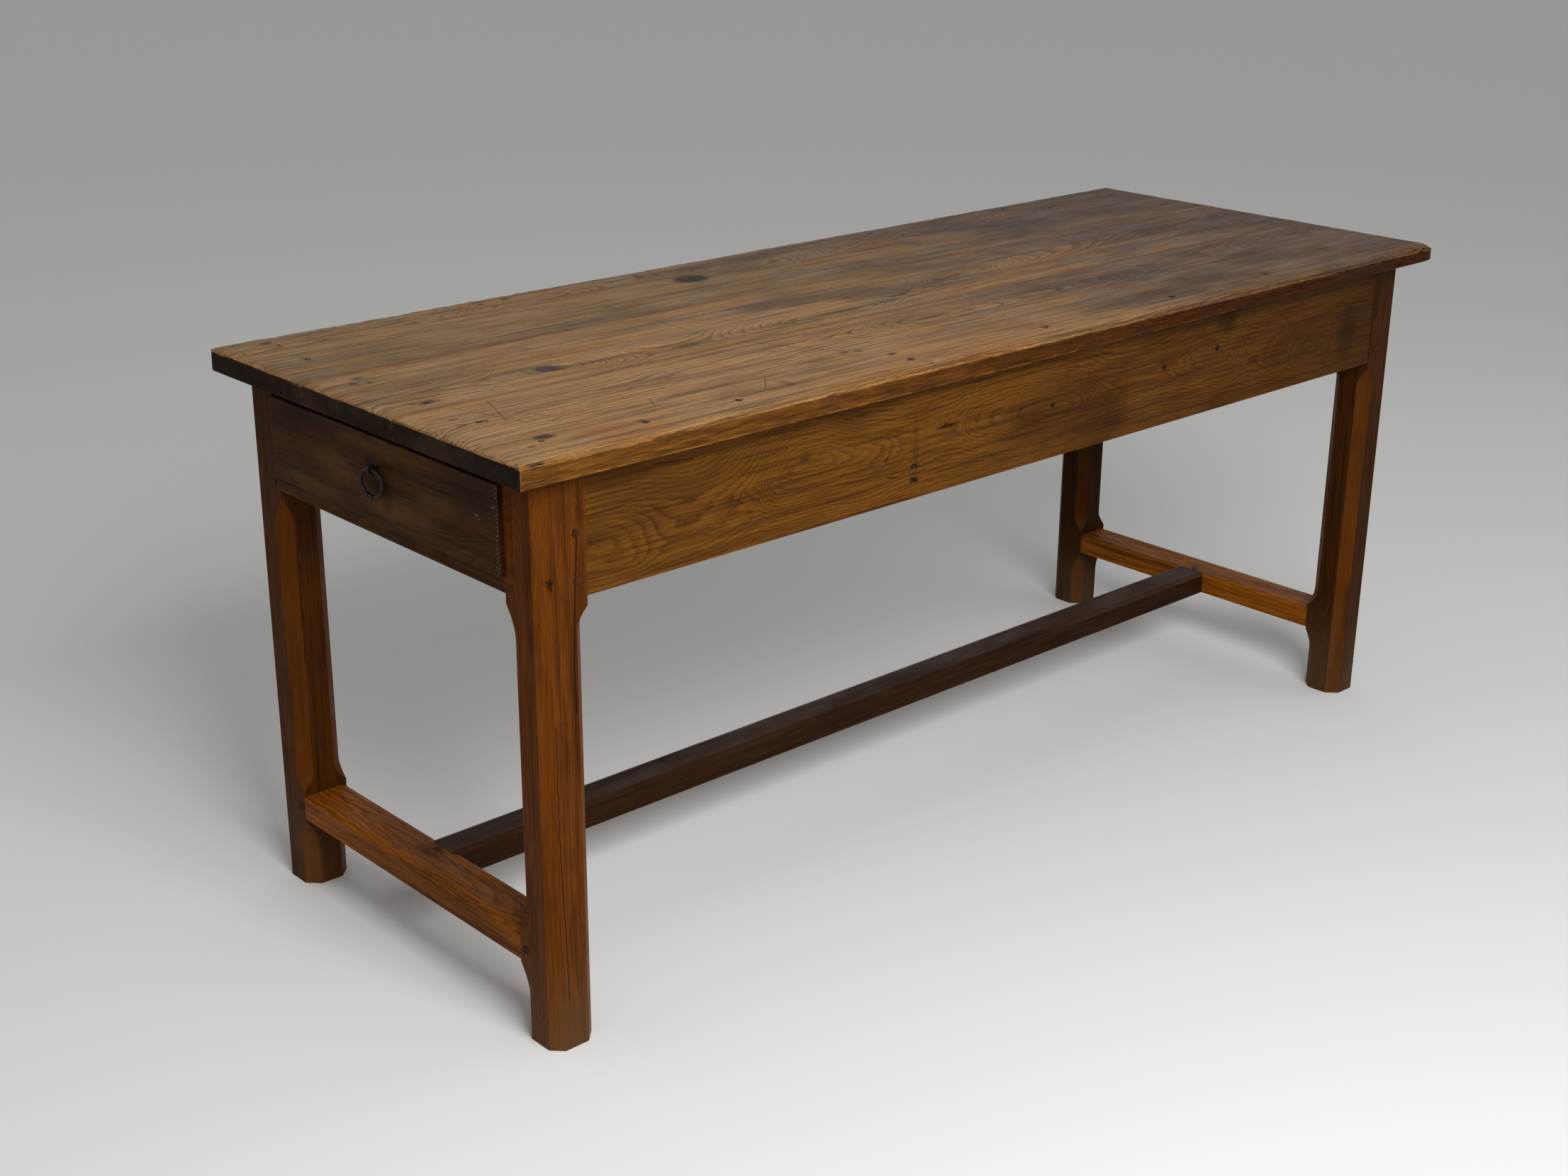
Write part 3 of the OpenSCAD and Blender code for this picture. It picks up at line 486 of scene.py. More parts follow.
def long_edge(plank, edge, line, early, fibre):
    """Colour of a board's long edges: rough, chipped, darkened towards the far end by painted shade,
    and black in a seam.
    """
    near, far, outer = edge
    near, far = linear(near), linear(far)
    # Painted shade: the edge tone darkens from the near tone to the far one along the top.
    shade = plank.blend(plank.step(plank.times(plank.u, 1 / TOP_L), 0.0, 0.7), near, far)
    chatter = plank.patches(60, 30, 6, 4.0, 0.65, 0.3)
    shade = plank.mottle(shade, plank.step(chatter, 0.3, 0.7, 0.55, 1.35))
    shade = plank.mottle(shade, plank.step(fibre, 0.3, 0.7, 0.6, 1.4))
    shade = plank.coat(shade, early, 0.6, line)
    shade = plank.coat(shade, plank.step(plank.patches(7, 5, 3), 0.66, 0.72), 0.5, shaded(near, 1.9))
    outside = plank.step(plank.v, *outer) if outer else 0.0
    return plank.blend(outside, shaded(line, 0.25), shade)


def wood(name, corner, ways, tones, crown, depth, spacing, wander=6.0, reach=None, ripple=1.1,
         seed=0.0, knots=(), stains=(), scratches=(), sweep=None, end=None, edge=None, worn=None,
         worn_r=0.003, rough=(0.40, 0.60), dust=None, blotch=0.35, grit=1.0, gloss=BARE_GLOSS,
         bold=0.7, feather=0.5):
    """Waxed or bare sawn wood: rings round a pith that wanders under the face, pores, knots and wear.

    crown and depth give, along the plank, where the pith lies across it and under its face.
    """
    material = empty_material(name)
    plank = Plank(material.node_tree, corner, ways, seed)
    line, body, pale = (linear(t) for t in tones)

    quick = plank.patches(90, 12, rough=0.55)
    radius, cores, knot_rings = ring_distance(plank, quick, knots, crown, depth, wander, ripple,
                                              feather)
    early, late = ring_line_and_late(plank, radius, spacing, seed)
    fibre = plank.patches(38, 0.8)
    streak = plank.patches(150, 4.5)
    coarse = plank.patches(330, 11)
    patch = plank.patches(310, 85, detail=4.0)
    pore = plank.times(plank.step(plank.patches(9, 0.55, detail=1.0, rough=0.5), 0.56, 0.70),
                       plank.step(early, 0.0, 0.8, 0.35, 1.0))

    colour = plank.coat(body, late, 0.6, pale)
    colour = plank.coat(colour, early, bold, line)
    colour = plank.coat(colour, plank.step(streak, 0.46, 0.68), 0.6, line)
    colour = plank.coat(colour, plank.step(coarse, 0.48, 0.70), 0.45, line)
    colour = plank.coat(colour, pore, 0.7 * grit, shaded(line, 0.45))
    colour = plank.mottle(colour, plank.slope(fibre, 0.28, 0.72, 0.64, 1.32))
    colour = plank.coat(colour, plank.step(patch, 0.45, 0.75), blotch, line)
    colour = plank.coat(colour, plank.step(patch, 0.48, 0.25), blotch, pale, "SOFT_LIGHT")
    if sweep:
        colour = sweep(plank, colour, patch)

    dent = plank.times(early, -0.12 * grit)
    if cores:
        core = plank.fold("MAXIMUM", cores)
        knot_line = plank.math("SINE", plank.total(
            plank.times(plank.fold("MINIMUM", knot_rings), 1.1), plank.times(quick, 9.0)))
        heart = plank.blend(plank.step(knot_line, -0.6, 0.9), shaded(line, 0.28), shaded(line, 0.9))
        colour = plank.coat(colour, core, 0.92, heart)
        dent = plank.total(dent, plank.times(core, plank.step(knot_line, -1, 1, -0.5, 0.1)))
    ragged = plank.ragged(plank.place, 0.16, (16.0, 10.0, 6.0)) if stains or scratches else None
    # Dark spots: real stains, and on the drawer front also the ring's painted shadow.
    if stains:
        dark = plank.fold("MAXIMUM", [plank.times(plank.spot(ragged, *where), much)
                                      for *where, much in stains])
        colour = plank.blend(dark, colour, shaded(line, 0.40))
        dent = plank.total(dent, plank.times(plank.step(dark, 0.55, 0.95), -0.5))
    if scratches:
        wavering = plank.scaled(plank.vector("SUBTRACT", ragged, plank.place), 0.22)
        wavering = plank.vector("ADD", plank.place, wavering)
        cut = plank.fold("MAXIMUM", [plank.use(scratch, wavering, (au, av, 0), (bu, bv, 0), wide)[0]
                                     for au, av, bu, bv, wide in scratches])
        colour = plank.coat(colour, cut, 0.88, shaded(line, 0.30))
        dent = plank.total(dent, plank.times(cut, -0.6))

    facing = plank.facing()
    cross, flank = (plank.step(plank.size(facing["XYZ".index(way[1])]), 0.55, 0.85)
                    for way in ways[:2])
    if edge:
        colour = plank.blend(flank, colour, long_edge(plank, edge, line, early, fibre))
    if reach:
        cross = plank.times(cross, plank.math("MAXIMUM", plank.step(plank.u, 4, -1),
                                              plank.step(plank.u, reach - 10, reach - 5)))
    end_tone = linear(end) if end else shaded(body, 0.45)
    end_tone = plank.coat(end_tone, early, 0.4, shaded(line, 0.3))
    end_tone = plank.mottle(end_tone, plank.step(plank.patches(3, 2.2, 12, 4.0, 0.65, 0.4),
                                                 0.3, 0.7, 0.4, 1.7))
    end_tone = plank.coat(end_tone, plank.step(patch, 0.5, 0.72), 0.08 if edge else 0.35, body)
    colour = plank.blend(cross, colour, end_tone)

    rub = plank.patches(30, 12, detail=4.0, rough=0.65)
    arris = plank.times(plank.worn_arris(worn_r), plank.step(rub, 0.38, 0.62))
    if edge:
        at_end = plank.times(cross, plank.step(plank.w, 2, 5))
        arris = plank.times(arris, plank.step(plank.u, TOP_L * 0.2, TOP_L * 0.9, 1.0, 0.35),
                            plank.math("SUBTRACT", 1.0, at_end))
    colour = plank.coat(colour, arris, 0.75, linear(worn) if worn else shaded(pale, 1.5))
    if dust:
        tint, top, most = dust
        low = plank.step(plank.u, top, 0.0) if ways[0][1] == "Z" else plank.step(facing[2], 0.6, 0.98)
        low = plank.times(low, plank.step(patch, 0.3, 0.7))
        colour = plank.coat(colour, low, most, linear(tint))

    smear = plank.patches(120, 40, detail=4.0)
    dull = plank.total(plank.step(smear, 0.3, 0.7, *rough), plank.times(pore, 0.2))
    height = plank.total(dent, plank.times(pore, -0.15 * grit), plank.times(fibre, 0.10 * grit),
                         plank.times(streak, 0.12), plank.times(smear, 0.5))
    if gloss > BARE_GLOSS:
        gloss = plank.step(plank.math("MAXIMUM", cross, flank), 0, 1, gloss, BARE_GLOSS)
    relief = plank.relief(height)
    plank.put(relief.inputs["Normal"], plank.rounded(SOFT_R))
    plank.cover(Base_Color=colour, Roughness=dull, Specular_IOR_Level=gloss,
                Normal=relief.outputs[0])
    return material


def finish(obj, material):
    """Gives an object one material on all its slots."""
    if not obj.material_slots:
        obj.data.materials.append(material)
    for slot in obj.material_slots:
        slot.material = material


def dress(nodes, ways, tones, title=None, corner=None, **figure):
    """Dresses CAD nodes in one new wood, measured from the first node's corner or a given place."""
    if corner is None:
        corner = corner_of(nodes[0], ways)
    material = wood(title or "wood_" + nodes[0], corner, ways, tones, **figure)
    for node in nodes:
        finish(NODES[node], material)


def focus(obj):
    """Selects one object only and makes it the active one."""
    bpy.ops.object.select_all(action="DESELECT")
    obj.select_set(True)
    bpy.context.view_layer.objects.active = obj


def copy_of(node, name):
    """New piece with a CAD node's shape, its loose triangles joined up, in that node's place."""
    piece = bpy.data.objects.new(name, NODES[node].data.copy())
    bpy.context.scene.collection.objects.link(piece)
    focus(piece)
    bpy.ops.object.mode_set(mode="EDIT")
    bpy.ops.mesh.select_all(action="SELECT")
    bpy.ops.mesh.remove_doubles(threshold=WELD)
    bpy.ops.mesh.dissolve_limited(angle_limit=FLAT_ANGLE)
    bpy.ops.object.mode_set(mode="OBJECT")
    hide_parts(node)
    return piece


def cut_at(place, axis):
    """Cuts the piece in edit mode once, square to an axis."""
    normal = Vector((axis == 0, axis == 1, axis == 2))
    bpy.ops.mesh.select_all(action="SELECT")
    bpy.ops.mesh.bisect(plane_co=normal * place, plane_no=normal)


def cut_rows(start, end, step, axis):
    """Cuts the piece in edit mode into rows of about one step along an axis."""
    rows = max(2, round((end - start) / step))
    for i in range(1, rows):
        cut_at(start + (end - start) * i / rows, axis)


def weigh(piece, name, rule):
    """Vertex group whose weights follow a rule on place."""
    group = piece.vertex_groups.new(name=name)
    for vertex in piece.data.vertices:
        weight = rule(vertex.co)
        if weight > 0.001:
            group.add([vertex.index], min(weight, 1.0), "REPLACE")


def displace(piece, group, depth, **settings):
    """Moves the piece's surface by a depth where the group has weight."""
    focus(piece)
    bpy.ops.object.modifier_add(type="DISPLACE")
    push = piece.modifiers[-1]
    push.vertex_group = group
    push.mid_level = 0.0
    push.strength = -depth
    for name, value in settings.items():
        setattr(push, name, value)
    bpy.ops.object.modifier_apply(modifier=push.name)


def press(piece, group, depth):
    """Moves the piece straight down by a depth, or up if below zero."""
    displace(piece, group, depth, direction="Z")


def wear(piece, group, depth, size, contrast=1.0, bright=1.0):
    """Presses a cloudy pattern into the piece, inwards only."""
    texture = bpy.data.textures.new(f"{piece.name}_{group}_{size}", "CLOUDS")
    texture.noise_scale = size
    texture.contrast = contrast
    texture.intensity = bright
    displace(piece, group, depth, texture=texture, texture_coords="LOCAL")


def fade(distance, reach):
    """One at no distance, nothing from the reach on."""
    return max(0.0, 1 - distance / reach)


def top_sweep(look, seams):
    """Golden wood at the near end, painted shade and a painted grey sheen that make it greyer and
    darker towards the far end, and orange beside the seams.
    """
    cool = [c / b for c, b in zip(linear(look.cool), linear(look.body))]
    orange = linear(look.seam)

    def paint(plank, colour, patch):
        far = plank.total(plank.times(plank.u, 1 / TOP_SHADE_L), plank.times(plank.v, 0.0009),
                          plank.step(patch, 0.3, 0.7, -0.18, 0.18))
        # Painted shade and painted grey sheen, growing towards the far end and towards the back of
        # each board.
        colour = plank.coat(colour, plank.step(far, 0.30, 1.05), 0.90, cool, "MULTIPLY")
        off = plank.fold("MINIMUM", [plank.size(plank.math("SUBTRACT", plank.v, seam))
                                     for seam in seams])
        return plank.coat(colour, plank.step(off, 11, 2),
                          plank.step(plank.u, 1500, 900, 0.15, 0.45), orange)

    return paint


def apron_sweep(look):
    """Painted shade: darker towards the far end."""
    cool = linear(look.cool)

    def paint(plank, colour, patch):
        far = plank.total(plank.times(plank.u, 1 / APRON_SHADE_L),
                          plank.step(patch, 0.3, 0.7, -0.25, 0.25))
        # Painted shade, growing towards the far end.
        return plank.coat(colour, plank.step(far, 0.25, 0.95), 0.75, cool)

    return paint


def leg_paint(look):
    """Chamfers rubbed orange."""
    rubbed = linear(look.rubbed)

    def paint(plank, colour, patch):
        x, y, _ = plank.facing()
        slant = plank.math("MINIMUM", plank.size(x), plank.size(y))
        return plank.coat(colour, plank.step(slant, 0.45, 0.62),
                          plank.step(patch, 0.3, 0.7, 0.1, 0.6), rubbed)

    return paint


GOLDEN_PATCHES = ((345, 52, 60, 30, .5), (200, 98, 110, 16, .5), (215, 28, 110, 22, .5),
                  (405, 12, 80, 14, .5), (130, 52, 54, 24, .3), (300, 96, 60, 10, .4))
PALE_NICKS = ((9, 81, 3.5, 2.4), (42, 64, 5, 1.6), (36, 61, 2, 1.4), (440, 70, 1.4, 1.8))


def drawer_paint(look):
    """Golden patches on the drawer front, pale nicks, and pale hatching on its right edge."""
    gold, pale = linear(look.gold), linear(look.nick)

    def paint(plank, colour, patch):
        here = plank.joined(plank.u, plank.v, 0.0)
        loose = plank.ragged(here, 0.035, (70, 22, 0))
        for *where, much in GOLDEN_PATCHES:
            colour = plank.coat(colour, plank.spot(loose, *where), much, gold)
        hatch = plank.math("SINE", plank.total(plank.times(plank.v, 1.25), plank.u))
        hatch = plank.times(plank.step(hatch, 0.45, 0.9), plank.step(plank.u, 8, 3),
                            plank.step(plank.noise(here, (0.3, 0.12, 1)), 0.42, 0.6))
        marks = plank.fold("MAXIMUM", [hatch, *(plank.spot(here, *nick) for nick in PALE_NICKS)])
        return plank.coat(colour, marks, 0.55, pale)

    return paint


# Each board: places in millimetres along and across it. crown and depth list a place along and
# the pith's place there, knots give a radius, stains two reaches and a strength, and scratches
# both ends and a width.
BOARDS = {
    "top_board_front": dict(
        seed=1.0,
        crown=[(0, 170), (300, 175), (620, 185), (900, 180), (1100, 185), (1400, 190), (1650, 195),
               (1775, 190)],
        depth=[(0, 52), (250, 60), (420, 56), (600, 60), (820, 44), (1000, 50), (1200, 62),
               (1400, 74), (1500, 66), (1600, 54), (1775, 46)],
        stains=[(67, 168, 9, 7, .8), (44, 196, 8, 6, .6), (80, 74, 20, 12, .9), (48, 54, 8, 5, .6),
                (203, 51, 10, 7, .85), (343, 44, 9, 6, .8), (436, 64, 9, 20, .45),
                (590, 122, 8, 6, .7), (612, 117, 6, 9, .7), (632, 78, 12, 8, .8),
                (632, 44, 9, 7, .9), (640, 20, 6, 16, .4), (890, 44, 11, 6, .9),
                (1163, 47, 11, 6, .85), (1392, 51, 18, 8, .75), (1607, 98, 10, 24, .55),
                (330, 108, 95, 6, .6), (530, 118, 60, 5, .5), (220, 104, 40, 5, .4),
                (1700, 70, 60, 30, .25), (130, 120, 12, 5, .35), (300, 190, 30, 4, .3)],
        scratches=[(530, 257, 578, 157, 1.3), (578, 157, 604, 118, 1.0), (69, 240, 108, 108, .8),
                   (118, 235, 88, 157, .9), (122, 162, 137, 137, 1.4), (250, 86, 268, 120, .8),
                   (870, 215, 880, 190, .8), (1710, 225, 1745, 200, 1.2), (400, 60, 430, 95, .9)],
    ),
    "top_board_middle": dict(
        seed=2.0,
        crown=[(0, 65), (200, 60), (320, 52), (460, 40), (600, 42), (820, 46), (1000, 92),
               (1150, 108), (1350, 124), (1600, 128), (1775, 120)],
        depth=[(0, 70), (180, 62), (255, 44), (360, 62), (450, 74), (560, 58), (760, 42), (900, 54),
               (1040, 44), (1140, 52), (1250, 64), (1400, 74), (1580, 86), (1775, 98)],
        knots=[(258, 58, 15)],
        stains=[(40, 154, 8, 8, .8), (58, 172, 12, 8, .7), (62, 28, 20, 9, .85), (45, 32, 9, 6, .6),
                (808, 92, 12, 6, .75), (1000, 90, 26, 6, .5), (1492, 42, 8, 5, .7),
                (1740, 42, 10, 6, .7), (465, 34, 40, 12, .55), (300, 150, 30, 8, .3),
                (1205, 165, 18, 26, .3), (1240, 130, 14, 5, .5), (240, 62, 26, 20, .45)],
        scratches=[(520, 172, 517, 90, 1.2), (860, 108, 820, 112, .8), (1490, 118, 1500, 90, .8)],
    ),
    "top_board_back": dict(
        seed=3.0,
        crown=[(0, 165), (300, 170), (480, 175), (740, 165), (850, 150), (1100, 150), (1400, 170),
               (1775, 165)],
        depth=[(0, 60), (200, 72), (330, 66), (500, 52), (640, 62), (740, 50), (830, 44), (950, 52),
               (1060, 66), (1200, 54), (1320, 62), (1450, 52), (1600, 60), (1775, 54)],
        knots=[(722, 132, 24), (440, 205, 5)],
        stains=[(61, 198, 12, 9, .8), (60, 100, 9, 7, .7), (57, 82, 7, 6, .6), (397, 212, 10, 8, .6),
                (672, 192, 12, 7, .85), (722, 132, 46, 26, .6), (918, 196, 14, 6, .8),
                (1156, 196, 9, 5, .85), (1475, 200, 10, 6, .8), (1720, 196, 14, 8, .7),
                (1722, 48, 9, 7, .75), (1295, 128, 60, 7, .45), (1150, 110, 26, 40, .35),
                (520, 70, 10, 6, .5), (250, 198, 30, 10, .35), (740, 18, 60, 8, .3)],
        scratches=[(690, 150, 735, 118, 1.0), (720, 118, 731, 148, 0.9), (1146, 122, 1152, 104, 1.0),
                   (90, 150, 150, 140, .7)],
    ),
}

# Radius of each corner of the top, seen from above.
CORNERS = {("front", "left"): 0.0, ("front", "right"): 0.024,
           ("back", "left"): 0.018, ("back", "right"): 0.014}

# Distances of the closer cuts from a board's outer sides and from its upper face, and the layers.
SIDE_CUTS = (0.0012, 0.0035, 0.006, 0.009, 0.0125, 0.017)
UPPER_CUTS = (0.0012, 0.003, 0.0055, 0.009)
LAYER = 0.0065


def cut_board(low, high, side, slice_l):
    """Cuts a board in edit mode into slices and layers, closer together where it is worn."""
    cut_rows(low.x, high.x, slice_l, 0)
    cut_rows(low.y, high.y, slice_l * 1.4, 1)
    cut_rows(low.z, high.z, LAYER, 2)
    for gap in SIDE_CUTS:
        cut_at(low.x + gap, 0)
        cut_at(high.x - gap, 0)
        if side != "middle":
            cut_at(low.y + gap if side == "front" else high.y - gap, 1)
    for gap in UPPER_CUTS:
        cut_at(high.z - gap, 2)


def wear_rules(low, high, side):
    """How much each kind of wear takes hold at a place on a board, by vertex group."""

    def from_end(co):
        return min(co.x - low.x, high.x - co.x)

    def inset(co):
        """Distance in from the outline of the whole top, round its corners too."""
        end = from_end(co)
        if side == "middle":
            return end
        edge = co.y - low.y if side == "front" else high.y - co.y
        r = CORNERS[side, "left" if co.x < (low.x + high.x) / 2 else "right"]
        if end < r and edge < r:
            return r - math.hypot(r - end, r - edge)
        return min(end, edge)

    def along(co):
        return (co.x - low.x) / (high.x - low.x)

    def near_edge(co):
        rise = (co.z - low.z) / (high.z - low.z)
        return fade(inset(co), 0.02) * (0.45 + 0.55 * rise)

    def near_arris(co):
        """On the upper outer arris, but not round the ends of its long sides."""
        end = 1.0
        if min(co.y - low.y, high.y - co.y) <= 0.02:
            end = min(1.0, max(0.0, (from_end(co) - 0.004) / 0.06))
        return end * near_edge(co) * fade(high.z - co.z, 0.012)

    def rubbed(co):
        side_in = fade(inset(co), 0.017) ** 2
        return side_in * fade(high.z - co.z, 0.015) ** 2 * (0.25 + 0.75 * along(co))

    def under(co):
        far = max(0.0, 2 * along(co) - 1)
        return fade(inset(co), 0.012) ** 2 * fade(co.z - low.z, 0.010) ** 2 * far

    return {"edge": near_edge, "arris": near_arris, "rubbed": rubbed, "under": under}


class TABLE_OT_top(bpy.types.Operator):
    """Three worn planks of the top"""

    bl_idname = "table.top"
    bl_label = "Plank Top"

    def execute(self, context):
        look = context.scene.table_top
        slice_l = look.slice * 1
        for node, figure in BOARDS.items():
            low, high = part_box(node)
            board = node.removeprefix("top_")
            side = node.removeprefix("top_board_")
            piece = copy_of(node, "worn_" + board)
            bpy.ops.object.mode_set(mode="EDIT")
            cut_board(low, high, side, slice_l)
            bpy.ops.object.mode_set(mode="OBJECT")
            for name, rule in wear_rules(low, high, side).items():
                weigh(piece, name, rule)
            press(piece, "rubbed", look.nose)
            press(piece, "under", look.nose * -0.6)
            wear(piece, "edge", look.wave, 0.060)
            wear(piece, "arris", look.nick, 0.012, contrast=2.0, bright=0.7)
            focus(piece)
            bpy.ops.object.shade_smooth_by_angle(angle=SMOOTH_ANGLE)
            wide = (high.y - low.y) * MM
            outer = {"front": (24, 10), "back": (wide - 24, wide - 10)}.get(side)
            seams = {"front": [wide], "middle": [0, wide], "back": [0]}[side]
            finish(piece, wood(
                "wood_" + board, corner_of(node, FLAT, BOARD_START), FLAT,
                # Painted shade: the back board's tones are darker and the front and middle boards'
                # lighter.
                ring_tones(look, 0.95 if side == "back" else 1.05),
                edge=(look.edge, look.far_edge, outer), end=look.end, worn=look.worn, worn_r=0.004,
                sweep=top_sweep(look, seams), reach=TOP_L - BOARD_START * MM, spacing=3.2,
                bold=0.95, ripple=0.7, feather=0.4, blotch=0.6, rough=(0.50, 0.66), gloss=0.11,
                **figure))
            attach(piece, "frame")
        return {"FINISHED"}


APRONS = {
    "apron_front": dict(
        ways=ON_EDGE, seed=4.0, wander=7.0, rough=(0.38, 0.56),
        crown=[(-50, 55), (150, 52), (330, 84), (480, 72), (590, 78), (720, 82), (800, 78),
               (950, 80), (1100, 84), (1300, 70), (1450, 60), (1620, 66)],
        depth=[(-50, 59), (20, 56), (160, 67), (260, 61), (335, 46), (400, 49), (470, 54), (570, 61),
               (640, 54), (700, 48), (797, 39), (880, 48), (980, 59), (1080, 52), (1180, 46),
               (1260, 57), (1420, 48), (1540, 56), (1620, 52)],
        knots=[(797, 75, 4), (1038, 85, 4), (1162, 93, 5)],
        stains=[(531, 43, 8, 4, .95), (531, 25, 9, 4, .95), (588, 86, 30, 5, .9),
                (531, 70, 8, 60, .3), (1180, 132, 34, 22, .6), (1500, 60, 34, 60, .45),
                (1040, 85, 9, 6, .6), (1162, 93, 7, 6, .8), (340, 95, 16, 9, .35),
                (797, 75, 5, 4, .8), (90, 128, 16, 4, .3), (420, 130, 30, 6, .3),
                (830, 62, 190, 70, .38)],
        scratches=[(480, 38, 500, 34, 1.0), (100, 135, 160, 130, 1.0), (860, 130, 920, 128, .9),
                   (230, 62, 234, 72, 1.0), (1275, 70, 1330, 100, .8)],
    ),
    "apron_back": dict(
        ways=("+X", "+Z", "-Y"), seed=5.0,
        crown=[(-50, 80), (400, 60), (900, 90), (1300, 70), (1620, 80)],
        depth=[(-50, 56), (200, 48), (420, 59), (700, 46), (960, 57), (1200, 49), (1620, 61)],
        knots=[(620, 50, 7), (1210, 100, 9)],
        stains=[(531, 43, 8, 4, .9), (531, 25, 9, 4, .9), (1210, 100, 12, 9, .7)],
    ),
    "apron_end": dict(
        ways=("+Y", "+Z", "-X"), seed=6.0,
        crown=[(-50, 70), (250, 90), (540, 76)],
        depth=[(-50, 57), (120, 51), (260, 45), (400, 53), (540, 59)],
        knots=[(300, 60, 6)],
    ),
}


class TABLE_OT_aprons(bpy.types.Operator):
    """Two long aprons and the end apron"""

    bl_idname = "table.aprons"
    bl_label = "Aprons"

    def execute(self, context):
        look = context.scene.table_aprons
        for node, figure in APRONS.items():
            dress([node], tones=ring_tones(look), corner=corner_of(node, figure["ways"], APRON_START),
                  spacing=2.7, ripple=1.2, feather=0.55, blotch=0.5, worn_r=0.0025,
                  sweep=None if node == "apron_end" else apron_sweep(look), **figure)
        return {"FINISHED"}


# Cracks of the front left leg. The other legs share the fifth.
LEG_CRACKS = [(652, 53, 594, 49, 1.6), (594, 49, 506, 44.5, 1.5), (506, 44.5, 440, 46, 1.1),
              (430, 15.5, 289, 15.5, 0.9), (289, 15.5, 169, 20, 1.0), (169, 20, 70, 22, 0.9)]
FRONT_LEFT_MARKS = [(606, 14.5, 4, 7, .95), (600, 14.5, 6, 3, .8)]


class TABLE_OT_legs(bpy.types.Operator):
    """Four legs with stopped chamfers"""

    bl_idname = "table.legs"
    bl_label = "Legs"

    def execute(self, context):
        look = context.scene.table_legs
        for i, node in enumerate(("leg_front_left", "leg_back_left", "leg_front_right",
                                  "leg_back_right")):
            right, back, first = "right" in node, "back" in node, i == 0
            # Painted shade: the far legs and the back legs get darker tones.
            dim = (1 - look.far_dim if right else 1.0) * (1 - look.back_dim if back else 1.0)
            dress([node], ("+Z", "-X" if right else "+X", "-Y" if back else "+Y"),
                  ring_tones(look, dim), seed=7.0 + i, spacing=2.6, wander=7.0, ripple=0.7,
                  feather=0.3, bold=0.2, crown=[(0, 165 + 9 * i), (350, 145 - 6 * i), (734, 170)],
                  depth=[(0, 60), (300, 75 - 8 * i), (734, 55)],
                  stains=[(400 - 60 * i, 30, 60, 5, .4), (150, 50, 70, 6, .35), (690, 58, 40, 8, .5)]
                  + (FRONT_LEFT_MARKS if first else []),
                  scratches=LEG_CRACKS if first else LEG_CRACKS[4:5], rough=(0.34, 0.52),
                  dust=(look.dust, 190.0, 0.55), blotch=0.7, gloss=0.03, sweep=leg_paint(look))
        return {"FINISHED"}


class TABLE_OT_stretchers(bpy.types.Operator):
    """End stretchers and the centre stretcher"""

    bl_idname = "table.stretchers"
    bl_label = "Stretchers"

    def execute(self, context):
        look = context.scene.table_stretchers
        shared = dict(spacing=2.8, rough=(0.38, 0.60), blotch=0.5)
        dress(["stretcher_centre"], FLAT, ring_tones(look), seed=12.0, bold=0.5,
              crown=[(0, 20), (800, 40), (1660, 20)], depth=[(0, 60), (900, 48), (1660, 66)],
              stains=[(60, 28, 30, 10, .5), (820, 30, 80, 8, .4), (1590, 30, 30, 12, .5)],
              dust=(look.dust, 0.0, 0.35), **shared)
        gold = (look.line, look.gold, tinted(look.gold, 1.2))
        for i, node in enumerate(("stretcher_left", "stretcher_right")):
            dress([node], ("+Y", "+X", "-Z"), gold, seed=13.0 + i, bold=0.6,
                  crown=[(0, 30), (570, 40)], depth=[(0, 60), (300, 46), (570, 62)],
                  stains=[(287, 30 if i else 44, 34, 18, .45)], dust=(look.dust, 0.0, 0.12),
                  **shared)
        return {"FINISHED"}


# The bare pine: the pieces that share one figure, and their ways.
PINE = {
    "crosswise": (["cross_rail", "drawer_back", "drawer_bottom"], END_ON_EDGE),
    "runners": (["runner_front", "runner_back", "guide_front", "guide_back", "kickers",
                 "drawer_stops"], FLAT),
    "drawer_sides": (["drawer_side_front", "drawer_side_back"], ON_EDGE),
}


class TABLE_OT_drawer(bpy.types.Operator):
    """Drawer front, the rails over and under it, and the bare wood of the box and its carriage"""

    bl_idname = "table.drawer"
    bl_label = "Drawer"

    def execute(self, context):
        look = context.scene.table_drawer
        tones = ring_tones(look)
        dress(["drawer_front"], END_ON_EDGE, tones, seed=16.0, spacing=2.4, wander=9.0, bold=0.2,
              ripple=0.6, feather=0.3, crown=[(0, 10), (250, -12), (495, 8)],
              depth=[(0, 60), (180, 74), (330, 60), (495, 70)],
              # The spot round the ring (250, 52) is partly a stain and partly the ring's painted
              # shadow; the spot below it towards the front (228, 40) is the ring's painted shadow.
              stains=[(250, 52, 30, 30, .4), (55, 84, 80, 34, .3), (266, 76, 12, 12, .7),
                      (470, 84, 56, 26, .3), (228, 40, 20, 26, .4)],
              worn_r=0.0025, rough=(0.36, 0.55), blotch=0.55, sweep=drawer_paint(look))
        dress(["drawer_rail_lower", "drawer_rail_upper"], END_ON_EDGE, tones, "wood_drawer_rail",
              seed=17.0, spacing=3.4, crown=[(0, 20), (560, 10)], depth=[(0, 50), (560, 60)],
              worn_r=0.002)
        bare = (look.inner_line, look.inner, tinted(look.inner, 1.1))
        for i, (name, (nodes, ways)) in enumerate(PINE.items()):
            dress(nodes, ways, bare, "pine_" + name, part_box(nodes[0])[0], seed=20.0 + i, spacing=3.2,
                  crown=[(-100, 30), (250, 60), (700, 20)], depth=[(-100, 50), (300, 66), (700, 40)],
                  knots=[(210, 40, 6)], rough=(0.62, 0.8), blotch=0.3, grit=0.6, worn_r=0.0015)
        return {"FINISHED"}


